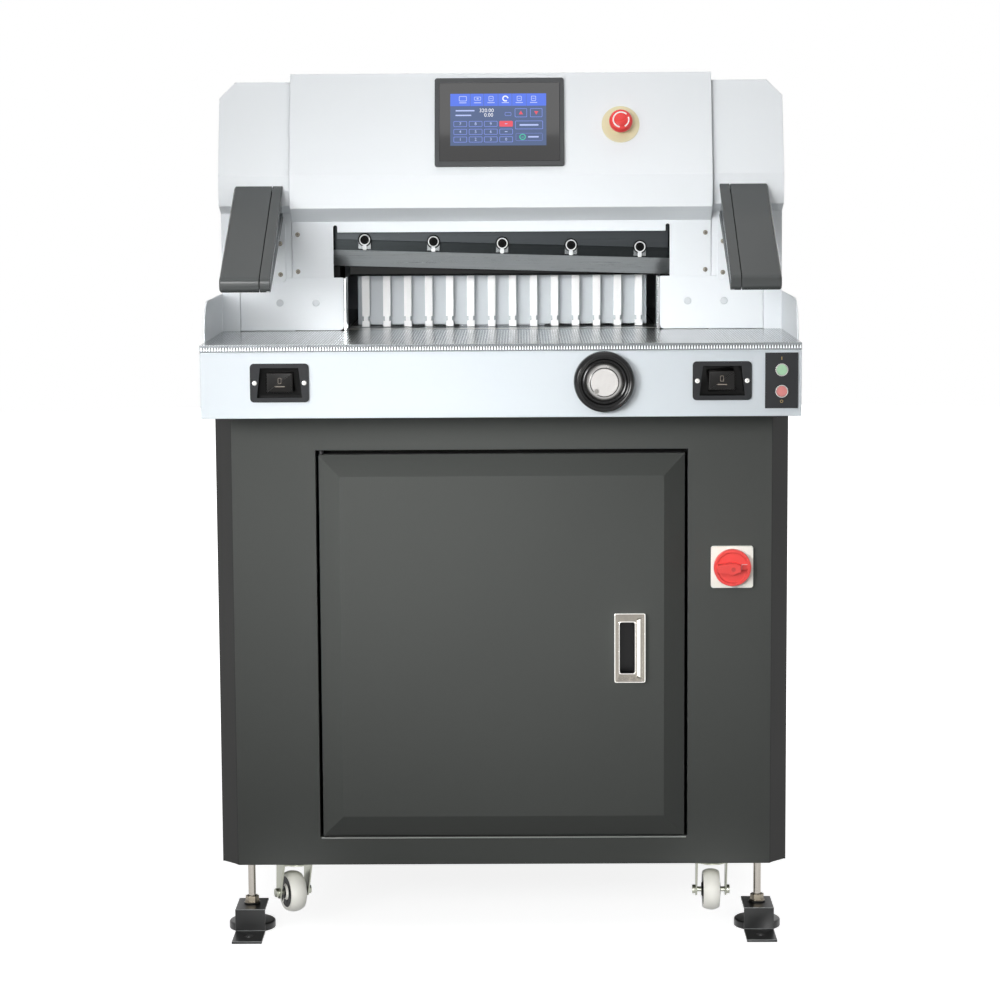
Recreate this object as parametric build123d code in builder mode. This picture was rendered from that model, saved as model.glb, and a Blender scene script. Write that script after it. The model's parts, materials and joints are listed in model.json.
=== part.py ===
"""Floor-standing electric paper cutter: cabinet, grooved table, swing-cut knife, clamp and backgauge.

Millimetres, +Z up, +X to the operator's right, -Y towards the operator.
The origin is on the floor, in the middle of the cabinet and of its four floor bolts.
"""

import os
from math import atan, atan2, cos, degrees, radians, sin

from build123d import *

os.makedirs("parts", exist_ok=True)

# Overall sizes and the main levels
overall_depth = 960.0
table_width = 897.0
table_height = 935.0
table_thickness = 10.5
cutting_width = 500.0
clamp_opening = 85.0
cabinet_depth = 700.0
cabinet_setback = 100.0
mouth_setback = 335.0
knife_setback = 41.0
sheet = 2.5
cut_overrun = 2.0
running_gap = 0.5
seam_gap = 0.8

cabinet_front_y = -cabinet_depth / 2
table_front_y = cabinet_front_y - cabinet_setback
table_back_y = table_front_y + overall_depth
mouth_y = table_front_y + mouth_setback
knife_edge_y = mouth_y + knife_setback
table_underside = table_height - table_thickness
table_half = table_width / 2
clamp_bottom = table_height + clamp_opening

# Cabinet
cabinet_width = 881.5
cabinet_bottom = 117.0
cabinet_top_drop = 75.0
cabinet_top = table_height - cabinet_top_drop
cabinet_half = cabinet_width / 2
corner_bevel_x = 27.0
corner_bevel_y = 27.0
foot_notch_height = 3.5
top_plate_thickness = 4.0
base_thickness = 4.0
door_stile = 155.25
door_rail = 93.5
door_opening_width = cabinet_width - 2 * door_stile
door_opening_bottom = 161.5
door_opening_height = cabinet_top - door_rail - door_opening_bottom
door_gap = 5.0
door_gap_below = 1.8
door_gap_above = 6.5
door_sheet = 2.0
door_rise = 27.0
door_bevel = 33.0
door_bevel_below = 36.2
door_bevel_above = 31.5
door_lip = 14.0
opening_return = 16.0
hinge_pin_radius = 1.8
hinge_setback = 3.0
hinge_collar_radius = 3.6
hinge_engagement = 9.0
hinge_wall_gap = 0.4
hinge_play = 0.2
vent_count = 9
vent_width = 120.0
vent_height = 6.0
vent_pitch = 16.0
vent_drop = 183.0
vent_rise = cabinet_top - cabinet_bottom - vent_drop

# Door handle, as wide and tall as its frame
handle_width = 48.0
handle_height = 108.0
handle_thickness = 9.0
handle_edge_distance = 90.5
handle_x = door_opening_width / 2 - handle_edge_distance
handle_z = 463.5
handle_bevel = 5.0
cup_width = 23.0
cup_height = 79.0
cup_depth = 20.0
cup_wall = 1.6
cup_shift = -4.0

# Main switch on the cabinet front
switch_edge_distance = 87.75
switch_x = cabinet_half - switch_edge_distance
switch_z = 584.0
switch_plate_size = 65.0
switch_plate_thickness = 6.0
switch_corner = 4.0
knob_radius = 28.5
knob_rim = 5.0
knob_base_height = 9.0
knob_floor_drop = 3.0
grip_wide = 17.0
grip_narrow = 11.0
grip_height = 13.0
window_size = 9.0
window_depth = 1.2
switch_shaft_radius = 4.0

# Levelling feet and their floor brackets
foot_inset_x = 40.75
foot_x = cabinet_half - foot_inset_x
foot_inset_y = 68.0
pad_radius = 36.5
pad_height = 12.0
pad_rounding = 3.0
stem_radius = 6.0
stem_length = 150.0
stem_play = 0.4
nut_sides = 6
nut_across_flats = 19.0
nut_height = 10.0
washer_radius = 13.0
washer_thickness = 2.5
bracket_width = 47.0
bracket_sheet = 4.0
bracket_height = 38.5
bracket_top_depth = 71.0
bracket_foot_depth = 65.0
floor_bolt_radius = 6.5
insert_radius = 11.0
insert_height = 16.0

# Casters
caster_inset_x = 113.75
caster_x = cabinet_half - caster_inset_x
caster_inset_y = 50.0
caster_trail = 20.0
caster_turn = 25.0
wheel_radius = 32.5
wheel_width = 30.0
wheel_crown = 4.0
wheel_hub_radius = 10.0
wheel_hub_recess = 3.0
axle_radius = 4.0
axle_play = 0.08
axle_head_radius = 7.0
axle_head_height = 5.0
wheel_ground_gap = 25.0
caster_plate_size = 58.0
caster_plate_thickness = 3.0
caster_race_radius = 22.0
caster_race_height = 5.0
race_play = 0.3
fork_sheet = 2.5
fork_side_gap = 7.0
fork_leg_width = 34.0
fork_end_radius = 10.0

# Apron and its controls
apron_height = 99.5
apron_inset = 2.0
control_drop = 56.5
control_z = table_height - control_drop
cut_button_inset = 118.5
cut_button_x = table_half - cut_button_inset
cut_housing_width = 88.0
cut_housing_height = 58.0
cut_housing_corner = 6.0
cut_housing_flange = 3.0
cut_well_top_width = 57.0
cut_well_bottom_width = 67.0
cut_well_height = 44.0
cut_well_depth = 18.0
cut_well_wall = 2.0
cut_button_width = 39.5
cut_button_height = 30.0
cut_button_drop = 5.0
cut_button_rounding = 2.0
cut_stem_radius = 5.0
cut_travel = 4.0
plate_inset = 30.0
plate_x = table_half - plate_inset
plate_width = 49.0
plate_height = 83.0
plate_thickness = 2.5
start_rise = 16.0
push_ring_radius = 9.4
push_ring_wall = 1.2
push_ring_height = 3.0
push_height = 3.6
push_stem_radius = 5.0
push_stem_length = 16.0
push_rounding = 1.5
push_travel = 2.5
push_play = 0.3

# Hand wheel on its encoder
handwheel_x = 154.0
handwheel_radius = 45.3
handwheel_depth = 20.0
boss_radius = 29.5
boss_rise = 5.0
boss_disc_radius = 21.0
boss_step = 2.0
dimple_radius = 4.5
dimple_depth = 1.5
dimple_x = -11.5
dimple_z = -13.5
encoder_radius = 29.0
encoder_length = 34.0
encoder_shaft_radius = 5.0
encoder_shaft_length = 22.0
encoder_flange = 3.0

# Side fences along the ends of the table
fence_height = 60.0
fence_radius = 55.0
fence_front_inset = 76.0
fence_sheet = 2.5
fence_skirt = 8.0

# Mouth panels
panel_sheet = 3.0
panel_corner = 7.0
plug_radius = 5.5
plug_rise = 1.0
plug_near_margin = 48.0
plug_far_inset = 92.5
plug_near_x = cutting_width / 2 + plug_near_margin
plug_far_x = table_half - plug_far_inset
plug_rise_z = 45.0
upper_panel_half = 335.0
upper_panel_height = 89.0
knife_window_half = 269.0
knife_window_height = 72.0
relief_width = 6.5
relief_height = 11.5
gauge_sheet = 3.0
gauge_height = 83.0
screw_radius = 4.2
screw_rise = 2.6
screw_x = 326.0
screw_low_z = 95.0
screw_high_z = 154.0
bracket_screw_x = 354.0
bracket_screw_low = 90.5
bracket_screw_high = 140.0
well_screw_offset = 37.0

# Head covers
head_lean = 18.0
head_overhang = 42.0
head_crease_rise = 248.0
head_chin_rise = 196.0
head_crease_z = table_height + head_crease_rise
head_chin_z = table_height + head_chin_rise
head_face_length = 168.5
head_top_depth = 235.0
side_step = 12.0
side_face_length = 155.5
side_chin_rise = 4.0
side_chin_drop = 12.0
side_corner = 25.0
housing_front_width = 29.0
cover_corner = 6.0

# Rear hood over the rear table
hood_front_height = 215.0
hood_rear_height = 95.0
hood_flat = 90.0

# Touch screen
bezel_width = 205.0
bezel_height = 146.0
bezel_thickness = 6.0
bezel_corner = 4.0
bezel_u = 85.5
bezel_x = -2.0
glass_width = 190.5
glass_height = 129.0
glass_thickness = 2.0
screen_body_depth = 34.0
screen_body_inset = 12.0

# Emergency stop
estop_x = 190.0
estop_u = 81.5
estop_ring_radius = 30.0
estop_ring_thickness = 2.0
estop_collar_radius = 14.5
estop_collar_height = 6.0
estop_barrel_radius = 11.0
estop_barrel_depth = 40.0
estop_plunger_radius = 8.0
estop_plunger_length = 30.0
estop_neck_radius = 9.5
estop_neck_height = 4.0
estop_head_radius = 18.5
estop_head_height = 12.0
estop_head_rounding = 4.0
estop_travel = 5.0
estop_play = 0.3

# Light-curtain arms
arm_inner_inset = 102.5
arm_outer_inset = 25.5
arm_inner_x = table_half - arm_inner_inset
arm_outer_x = table_half - arm_outer_inset
arm_cap_width = 16.0
arm_cap_gap = 0.8
arm_reach = 256.0
arm_drop = 136.0
arm_root_rise = 232.0
arm_root_z = table_height + arm_root_rise
arm_thickness = 46.0
arm_nose_height = 25.0
arm_nose_radius = 9.0
arm_edge_radius = 4.0
arm_bracket_inset = 103.5
arm_bracket_near = table_half - arm_bracket_inset
arm_bracket_width = 28.0
arm_bracket_low = 78.0
arm_bracket_high = 172.0
arm_bracket_corner = 7.0
bar_thickness = 6.0
bar_margin = 4.5
bar_sink = 0.5
bar_play = 0.2
bar_inset = 9.0
bar_window_depth = 1.5

# Main frame
frame_inner_x = 262.0
frame_thickness = 40.0
frame_post_depth = 130.0
frame_reach = 60.0
flange_near_x = 272.0
flange_far_x = 332.0
flange_depth = 7.0
frame_rise = 365.0
beam_rise = 195.0
frame_top = table_height + frame_rise
beam_bottom = table_height + beam_rise
beam_depth = 40.0
guide_pin_radius = 10.0
guide_play = 0.4
guide_pin_x = 200.0
guide_pin_collar = 6.0
guide_pin_rise = 150.0
guide_depth = 16.0
rod_radius = 10.0
rod_play = 0.3
rod_x = 130.0
rod_length = 190.0

# Knife: the slope of the resting edge and of the slide
knife_tilt = 1.75
knife_slant = 24.8
knife_stop_gap = 0.3
knife_pivot_rise = 70.5
blade_half = 298.0
blade_edge_rise = 94.5
blade_edge_z = table_height + blade_edge_rise
blade_bevel_height = 26.0
blade_height = 86.0
blade_depth = 11.0
carrier_bottom_rise = 43.0
carrier_height = 46.0
carrier_depth = 11.0
carrier_half = 266.0
bolt_count = 5
bolt_pitch = 110.5
bolt_head_radius = 8.8
bolt_head_height = 4.0
bolt_socket_radius = 4.6
bolt_socket_sides = 6
bolt_socket_depth = 2.5
bolt_shank_radius = 4.0
bolt_plate_width = 21.0
bolt_plate_drop = 12.5
bolt_plate_rise = 4.0
bolt_plate_thickness = 1.5
bolt_slot_width = 8.0
bolt_slot_depth = 3.0
bolt_rise = 45.5
slider_half = 276.0
slider_bottom_rise = 155.0
slider_top_rise = 333.0
slider_bottom = table_height + slider_bottom_rise
slider_top = table_height + slider_top_rise
slider_depth = 8.0
slider_cutout_height = 70.0
slider_web = 42.0

# Clamp beam behind the knife
clamp_half = 246.0
clamp_depth = 34.0
clamp_height = 66.0
clamp_foot_bevel = 3.0

# Backgauge
comb_setback = 87.0
comb_half = 236.0
comb_height = 118.0
comb_plate = 6.0
comb_foot_gap = 3.0
finger_count = 14
finger_pitch = 34.3
finger_width = 12.2
finger_depth = 12.0
finger_waist_width = 7.0
finger_waist_low = 10.0
finger_waist_high = 17.0
table_clearance = 0.5
carriage_half = 70.0
carriage_depth = 62.0
carriage_height = 90.0
carriage_rib = 10.0
neck_half = 7.0
slot_half = 10.0
slot_start = 10.0
slot_end_margin = 24.0
drive_drop = 31.5
drive_block_half = 56.0
drive_block_height = 34.0
rail_radius = 8.0
rail_x = 40.0
rail_play = 0.05
screw_shaft_radius = 8.0
leadscrew_play = 0.4
end_plate_half = 66.0
end_plate_thickness = 12.0
end_plate_height = 52.0
rail_start = 72.0
rail_end_margin = 30.0
motor_size = 56.0
motor_length = 76.0
motor_flange_gap = 0.5
motor_cheek = 6.0
coupling_radius = 13.0
coupling_length = 24.0

# Cutting stick let into the table under the knife
stick_width = 12.0
stick_height = 5.0
stick_fit = 0.1

# Hydraulic unit, cylinders and control box in the cabinet
tank_width = 300.0
tank_depth = 220.0
tank_height = 190.0
tank_x = -110.0
tank_y = 150.0
tank_rounding = 10.0
pump_motor_radius = 70.0
pump_motor_length = 200.0
pump_fin_count = 24
pump_fin_height = 6.0
pump_fin_width = 3.0
pump_foot_height = 14.0
cylinder_radius = 32.0
cylinder_length = 260.0
cylinder_x = 60.0
cylinder_cap = 16.0
cylinder_y = 90.0
box_width = 180.0
box_depth = 120.0
box_height = 300.0
box_y = 230.0
box_drop = 411.0
box_rise = cabinet_top - cabinet_bottom - box_drop


def block(x_span, y_span, z_span, mode=Mode.ADD):
    """Add (or cut) a block between two x, two y and two z values in the open part."""
    spans = (x_span, y_span, z_span)
    middle = tuple((low + high) / 2 for low, high in spans)
    lengths = tuple(abs(high - low) for low, high in spans)
    with Locations(middle):
        Box(*lengths, mode=mode)


def save(part, name):
    """Label a finished piece and write it as parts/NAME.step."""
    part.label = name
    export_step(part, f"parts/{name}.step")


def facing_operator(x, y, z):
    """A plane that faces the operator: local x to the right, local y up."""
    return Plane(origin=(x, y, z), x_dir=(1, 0, 0), z_dir=(0, -1, 0))


# Cabinet: bent side sheets with bevelled front corners
cabinet_mid_y = cabinet_front_y + cabinet_depth / 2
cabinet_rear_y = cabinet_front_y + cabinet_depth
front_half = cabinet_half - corner_bevel_x


def cabinet_outline(inset):
    """Draw the cabinet's plan: a rectangle with its two front corners bevelled."""
    half = cabinet_half - inset
    front = cabinet_front_y + inset
    rear = cabinet_rear_y - inset
    Polygon(
        (-front_half, front),
        (front_half, front),
        (half, cabinet_front_y + corner_bevel_y),
        (half, rear),
        (-half, rear),
        (-half, cabinet_front_y + corner_bevel_y),
        align=None,
    )


with BuildPart() as cabinet_sides:
    with BuildSketch(Plane.XY.offset(cabinet_bottom)):
        cabinet_outline(0)
        with Locations((0, cabinet_mid_y)):
            Rectangle(2 * front_half, cabinet_depth + cut_overrun, mode=Mode.SUBTRACT)
    extrude(amount=cabinet_top - cabinet_bottom)
    with BuildSketch(Plane.XY.offset(cabinet_bottom)):
        cabinet_outline(sheet)
    extrude(amount=cabinet_top - cabinet_bottom, mode=Mode.SUBTRACT)
    with BuildSketch(Plane.XZ.offset(-cabinet_front_y)):
        for side in (-1, 1):
            with BuildLine():
                Polyline(
                    (side * front_half, cabinet_bottom - cut_overrun),
                    (side * (front_half + corner_bevel_x + cut_overrun), cabinet_bottom - cut_overrun),
                    (side * (front_half + corner_bevel_x + cut_overrun), cabinet_bottom + foot_notch_height),
                    (side * front_half, cabinet_bottom),
                    close=True,
                )
            make_face()
    extrude(amount=-corner_bevel_y, mode=Mode.SUBTRACT)
save(cabinet_sides.part, "cabinet_sides")

# Cabinet front frame, with a folded return round the door opening
opening_mid_z = door_opening_bottom + door_opening_height / 2
with BuildPart() as cabinet_front:
    block(
        (-front_half, front_half),
        (cabinet_front_y, cabinet_front_y + sheet),
        (cabinet_bottom, cabinet_top),
    )
    with BuildSketch(facing_operator(0, cabinet_front_y + sheet, opening_mid_z)):
        Rectangle(door_opening_width + 2 * sheet, door_opening_height + 2 * sheet)
    extrude(amount=-opening_return)
    with BuildSketch(facing_operator(0, cabinet_front_y, opening_mid_z)):
        Rectangle(door_opening_width, door_opening_height)
    extrude(amount=-(sheet + opening_return + cut_overrun), mode=Mode.SUBTRACT)
    with Locations(facing_operator(switch_x, cabinet_front_y, switch_z)):
        Hole(radius=switch_shaft_radius + running_gap, depth=2 * sheet)
save(cabinet_front.part, "cabinet_front")

with BuildPart() as cabinet_rear_panel:
    block(
        (-front_half, front_half),
        (cabinet_rear_y - sheet, cabinet_rear_y),
        (cabinet_bottom, cabinet_top),
    )
    with BuildSketch(facing_operator(0, cabinet_rear_y, cabinet_bottom + vent_rise)):
        with GridLocations(2 * vent_width, vent_pitch, 2, vent_count):
            SlotOverall(vent_width, vent_height)
    extrude(amount=sheet, mode=Mode.SUBTRACT)
save(cabinet_rear_panel.part, "cabinet_rear_panel")

# The feet's stems run up through threaded inserts in the base
foot_front_y = cabinet_front_y + foot_inset_y
foot_rear_y = cabinet_rear_y - foot_inset_y
foot_places = [(x, y) for x in (-foot_x, foot_x) for y in (foot_front_y, foot_rear_y)]
base_top = cabinet_bottom + base_thickness
with BuildPart() as cabinet_base:
    with BuildSketch(Plane.XY.offset(cabinet_bottom)):
        cabinet_outline(sheet)
    extrude(amount=base_thickness)
    with BuildSketch(Plane.XY.offset(base_top)):
        with Locations(*foot_places):
            Circle(insert_radius)
    extrude(amount=insert_height)
    with BuildSketch(Plane.XY.offset(cabinet_bottom)):
        with Locations(*foot_places):
            Circle(stem_radius + stem_play)
    extrude(amount=base_thickness + insert_height, mode=Mode.SUBTRACT)
save(cabinet_base.part, "cabinet_base")

frame_base_z = cabinet_top + top_plate_thickness
with BuildPart() as cabinet_top_plate:
    with BuildSketch(Plane.XY.offset(cabinet_top)):
        cabinet_outline(0)
    extrude(amount=top_plate_thickness)
save(cabinet_top_plate.part, "cabinet_top_plate")

# Door: a pressed tray with a raised centre, hung on two pins at its left edge
door_half = door_opening_width / 2 - door_gap
door_bottom = door_opening_bottom + door_gap_below
door_top = door_opening_bottom + door_opening_height - door_gap_above
door_height = door_top - door_bottom
door_mid_z = (door_top + door_bottom) / 2
raised_height = door_height - door_bevel_below - door_bevel_above
raised_mid_z = door_bottom + door_bevel_below + raised_height / 2
door_back_y = cabinet_front_y + door_lip
with BuildPart() as cabinet_door:
    with BuildSketch(facing_operator(0, door_back_y, door_mid_z)):
        Rectangle(2 * door_half, door_height)
    extrude(amount=door_lip)
    with BuildSketch(facing_operator(0, cabinet_front_y, door_mid_z)):
        Rectangle(2 * door_half, door_height)
    with BuildSketch(facing_operator(0, cabinet_front_y - door_rise, raised_mid_z)):
        Rectangle(2 * (door_half - door_bevel), raised_height)
    loft()
    back_face = cabinet_door.faces().sort_by(Axis.Y)[-1]
    offset(amount=-door_sheet, openings=back_face)
    slot_plane = facing_operator(handle_x + cup_shift, cabinet_front_y - door_rise, handle_z)
    with BuildSketch(slot_plane):
        Rectangle(cup_width + 2 * running_gap, cup_height + 2 * running_gap)
    extrude(amount=-(door_sheet + cut_overrun), mode=Mode.SUBTRACT)

# Hinges: a pin at the top and one at the bottom, held by the frame's return, enter the door's walls
hinge_x = -door_half + door_sheet + hinge_pin_radius + hinge_wall_gap
hinge_y = cabinet_front_y + hinge_setback
opening_top = door_opening_bottom + door_opening_height
hinge_seats = ((door_opening_bottom, 1, door_gap_below), (opening_top, -1, door_gap_above))
with BuildPart() as hung_door:
    add(cabinet_door.part)
    for seat, inward, gap in hinge_seats:
        with BuildSketch(Plane.XY.offset(seat)):
            with Locations((hinge_x, hinge_y)):
                Circle(hinge_pin_radius + hinge_play)
        extrude(amount=inward * (gap + hinge_engagement), mode=Mode.SUBTRACT)
save(hung_door.part, "cabinet_door")

with BuildPart() as door_hinges:
    for seat, inward, gap in hinge_seats:
        with BuildSketch(Plane.XY.offset(seat)):
            with Locations((hinge_x, hinge_y)):
                Circle(hinge_collar_radius)
        extrude(amount=inward * (gap - hinge_play))
        with BuildSketch(Plane.XY.offset(seat)):
            with Locations((hinge_x, hinge_y)):
                Circle(hinge_pin_radius)
        extrude(amount=inward * (gap + hinge_engagement))
save(door_hinges.part, "door_hinges")

# Door handle: a plate frame with a bevelled right half round a black finger cup
handle_face_y = cabinet_front_y - door_rise
with BuildPart() as door_handle:
    with BuildSketch(facing_operator(handle_x, handle_face_y, handle_z)):
        Rectangle(handle_width, handle_height)
    extrude(amount=handle_thickness)
    front_edges = door_handle.faces().sort_by(Axis.Y)[0].edges()
    chamfer(front_edges.sort_by(Axis.X)[-1], length=handle_thickness - sheet, length2=2 * handle_bevel)
    fillet(door_handle.edges().filter_by(Axis.Y), radius=handle_bevel / 2)
    with BuildSketch(facing_operator(handle_x + cup_shift, handle_face_y, handle_z)):
        Rectangle(cup_width, cup_height)
    extrude(amount=handle_thickness, mode=Mode.SUBTRACT)

with BuildPart() as door_handle_cup:
    with BuildSketch(facing_operator(handle_x + cup_shift, handle_face_y - sheet, handle_z)):
        Rectangle(cup_width, cup_height)
        Rectangle(cup_width - 2 * cup_wall, cup_height - 2 * cup_wall, mode=Mode.SUBTRACT)
    extrude(amount=-cup_depth)
    with BuildSketch(facing_operator(handle_x + cup_shift, handle_face_y - sheet + cup_depth, handle_z)):
        Rectangle(cup_width, cup_height)
    extrude(amount=cup_wall)
handle_and_cup = Compound(label="door_handle", children=[door_handle.part, door_handle_cup.part])
export_step(handle_and_cup, "parts/door_handle.step")

# Main switch: a square plate and a round knob with a tapered grip and a small window
switch_face_y = cabinet_front_y - switch_plate_thickness
with BuildPart() as main_switch_plate:
    with BuildSketch(facing_operator(switch_x, cabinet_front_y, switch_z)):
        RectangleRounded(switch_plate_size, switch_plate_size, switch_corner)
        Circle(switch_shaft_radius + running_gap, mode=Mode.SUBTRACT)
    extrude(amount=switch_plate_thickness)
save(main_switch_plate.part, "main_switch_plate")

knob_back_y = switch_face_y - running_gap
knob_face_y = knob_back_y - knob_base_height
with BuildPart() as main_switch_knob:
    with BuildSketch(facing_operator(switch_x, knob_back_y, switch_z)):
        Circle(knob_radius)
    extrude(amount=knob_base_height)
    with BuildSketch(facing_operator(switch_x, knob_face_y, switch_z)):
        Circle(knob_radius - knob_rim)
    extrude(amount=-knob_floor_drop, mode=Mode.SUBTRACT)
    with BuildSketch(facing_operator(switch_x, knob_face_y + knob_floor_drop, switch_z)):
        grip_end = knob_radius - knob_rim
        with BuildLine():
            Polyline(
                (-grip_end, -grip_narrow / 2),
                (0, -grip_wide / 2),
                (grip_end / 2, -grip_narrow / 2),
                (grip_end / 2, grip_narrow / 2),
                (0, grip_wide / 2),
                (-grip_end, grip_narrow / 2),
                close=True,
            )
        make_face()
    extrude(amount=knob_floor_drop + grip_height)
    with BuildSketch(facing_operator(switch_x, knob_face_y + knob_floor_drop, switch_z)):
        with Locations((knob_radius - knob_rim - window_size / 2, 0)):
            Rectangle(window_size, window_size)
    extrude(amount=window_depth)
    with BuildSketch(facing_operator(switch_x, knob_back_y, switch_z)):
        Circle(switch_shaft_radius)
    extrude(amount=-(running_gap + switch_plate_thickness + opening_return))
save(main_switch_knob.part, "main_switch_knob")

# Levelling feet: pad, stem, nut and a Z-shaped bracket that is bolted to the floor
foot_names = {
    "foot_front_left": (-foot_x, foot_front_y, -1),
    "foot_rear_left": (-foot_x, foot_rear_y, 1),
    "foot_front_right": (foot_x, foot_front_y, -1),
    "foot_rear_right": (foot_x, foot_rear_y, 1),
}
web_offset = pad_radius + running_gap
bolt_offset = web_offset + bracket_foot_depth / 2
for name, (x, y, outward) in foot_names.items():
    with BuildPart() as pad:
        with Locations((x, y, pad_height / 2)):
            Cylinder(pad_radius, pad_height)
        fillet(pad.edges().sort_by(Axis.Z)[-1], radius=pad_rounding)
        with Locations((x, y, pad_height + stem_length / 2)):
            Cylinder(stem_radius, stem_length)
    with BuildPart() as bracket:
        web_y = y + outward * web_offset
        web_in = web_y + outward * bracket_sheet
        x_span = (x - bracket_width / 2, x + bracket_width / 2)
        block(x_span, (web_y, web_in), (0, bracket_height))
        block(
            x_span,
            (web_in, web_in - outward * bracket_top_depth),
            (bracket_height - bracket_sheet, bracket_height),
        )
        block(x_span, (web_y, web_y + outward * bracket_foot_depth), (0, bracket_sheet))
        with Locations((x, y, bracket_height)):
            Hole(radius=stem_radius + stem_play, depth=2 * bracket_sheet)
        with Locations((x, y + outward * bolt_offset, bracket_sheet)):
            Hole(radius=floor_bolt_radius, depth=2 * bracket_sheet)
    with BuildPart() as nut:
        with BuildSketch(Plane.XY.offset(bracket_height)):
            with Locations((x, y)):
                Circle(washer_radius)
        extrude(amount=washer_thickness)
        with BuildSketch(Plane.XY.offset(bracket_height + washer_thickness)):
            with Locations((x, y)):
                RegularPolygon(nut_across_flats / 2, nut_sides, major_radius=False)
        extrude(amount=nut_height)
        with Locations((x, y, bracket_height + washer_thickness + nut_height)):
            Hole(radius=stem_radius + stem_play, depth=nut_height + washer_thickness + cut_overrun)
    foot = Compound(label=name, children=[pad.part, bracket.part, nut.part])
    export_step(foot, f"parts/{name}.step")

# Casters: swivel forks at the front, fixed forks at the rear
axle_z = wheel_ground_gap + wheel_radius
fork_top = cabinet_bottom - caster_plate_thickness - caster_race_height
fork_half = wheel_width / 2 + fork_side_gap + fork_sheet
caster_front_y = cabinet_front_y + caster_inset_y
caster_rear_y = cabinet_rear_y - caster_inset_y - caster_trail


def caster_plane(x, y, turn):
    """A level plane at a caster's swivel axis, turned about it: local y trails to the rear."""
    return Plane(origin=(x, y, 0), z_dir=(0, 0, 1), x_dir=(cos(radians(turn)), sin(radians(turn)), 0))


def fork_solid(place):
    """Build a pressed fork with its axle, at a caster plane."""
    with BuildPart() as fork:
        with BuildSketch(place.offset(fork_top - fork_sheet)):
            with Locations((0, caster_trail / 2)):
                Rectangle(2 * fork_half, fork_leg_width + caster_trail / 2)
            Circle(caster_race_radius)
        extrude(amount=fork_sheet)
        side = Plane(
            origin=place.from_local_coords((-fork_half, 0, 0)), x_dir=place.y_dir, z_dir=place.x_dir
        )
        with BuildSketch(side):
            with BuildLine():
                leg_back = caster_trail / 2 - fork_leg_width / 2
                leg_front = caster_trail / 2 + fork_leg_width / 2
                Polyline(
                    (leg_back, fork_top),
                    (leg_front, fork_top),
                    (caster_trail + fork_end_radius, axle_z),
                    (caster_trail, axle_z - fork_end_radius),
                    (caster_trail - fork_end_radius, axle_z),
                    close=True,
                )
            make_face()
            with Locations((caster_trail, axle_z)):
                Circle(fork_end_radius)
        extrude(amount=2 * fork_half)
        with BuildSketch(side.offset(fork_sheet)):
            with Locations((caster_trail, fork_top / 2)):
                Rectangle(fork_leg_width + 2 * fork_end_radius + caster_trail, fork_top - 2 * fork_sheet)
        extrude(amount=2 * (fork_half - fork_sheet), mode=Mode.SUBTRACT)
        with BuildSketch(side.offset(-axle_head_height)):
            with Locations((caster_trail, axle_z)):
                Circle(axle_head_radius)
        extrude(amount=axle_head_height)
        with BuildSketch(side.offset(2 * fork_half)):
            with Locations((caster_trail, axle_z)):
                Circle(axle_head_radius)
        extrude(amount=axle_head_height)
        with BuildSketch(side):
            with Locations((caster_trail, axle_z)):
                Circle(axle_radius)
        extrude(amount=2 * fork_half)
    return fork.part


def wheel_solid(place):
    """Build a solid nylon wheel with a crowned tread and dished sides, at a caster plane."""
    centre = place.from_local_coords((0, caster_trail, axle_z))
    axis_plane = Plane(origin=centre, x_dir=(0, 0, 1), z_dir=place.y_dir)
    with BuildPart() as wheel:
        with BuildSketch(axis_plane):
            with BuildLine():
                bore = axle_radius + axle_play
                half = wheel_width / 2
                shoulder = wheel_radius - wheel_crown
                Polyline(
                    (bore, -half),
                    (wheel_hub_radius, -half),
                    (wheel_hub_radius + wheel_hub_recess, -half + wheel_hub_recess),
                    (shoulder - wheel_crown, -half + wheel_hub_recess),
                    (shoulder, -half + wheel_crown / 2),
                )
                ThreePointArc(
                    (shoulder, -half + wheel_crown / 2), (wheel_radius, 0), (shoulder, half - wheel_crown / 2)
                )
                Polyline(
                    (shoulder, half - wheel_crown / 2),
                    (shoulder - wheel_crown, half - wheel_hub_recess),
                    (wheel_hub_radius + wheel_hub_recess, half - wheel_hub_recess),
                    (wheel_hub_radius, half),
                    (bore, half),
                    (bore, -half),
                )
            make_face()
        revolve(axis=Axis(centre, place.x_dir))
    return wheel.part


caster_places = {
    "front_left": caster_plane(-caster_x, caster_front_y, caster_turn),
    "front_right": caster_plane(caster_x, caster_front_y, 0),
    "rear_left": caster_plane(-caster_x, caster_rear_y, 0),
    "rear_right": caster_plane(caster_x, caster_rear_y, 0),
}
for corner, place in caster_places.items():
    save(wheel_solid(place), f"caster_wheel_{corner}")
for corner in ("front_left", "front_right"):
    save(fork_solid(caster_places[corner]), f"caster_fork_{corner}")

caster_mounts = []
for corner, place in caster_places.items():
    swivels = corner.startswith("front")
    with BuildPart() as mount:
        with BuildSketch(place.offset(cabinet_bottom - caster_plate_thickness)):
            Rectangle(caster_plate_size, caster_plate_size)
        extrude(amount=caster_plate_thickness)
        with BuildSketch(place.offset(fork_top + (race_play if swivels else 0))):
            Circle(caster_race_radius - fork_sheet)
        extrude(amount=caster_race_height - (race_play if swivels else 0))
        if not swivels:
            add(fork_solid(place))
    caster_mounts.append(mount.part)
export_step(Compound(label="caster_mounts", children=caster_mounts), "parts/caster_mounts.step")

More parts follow.
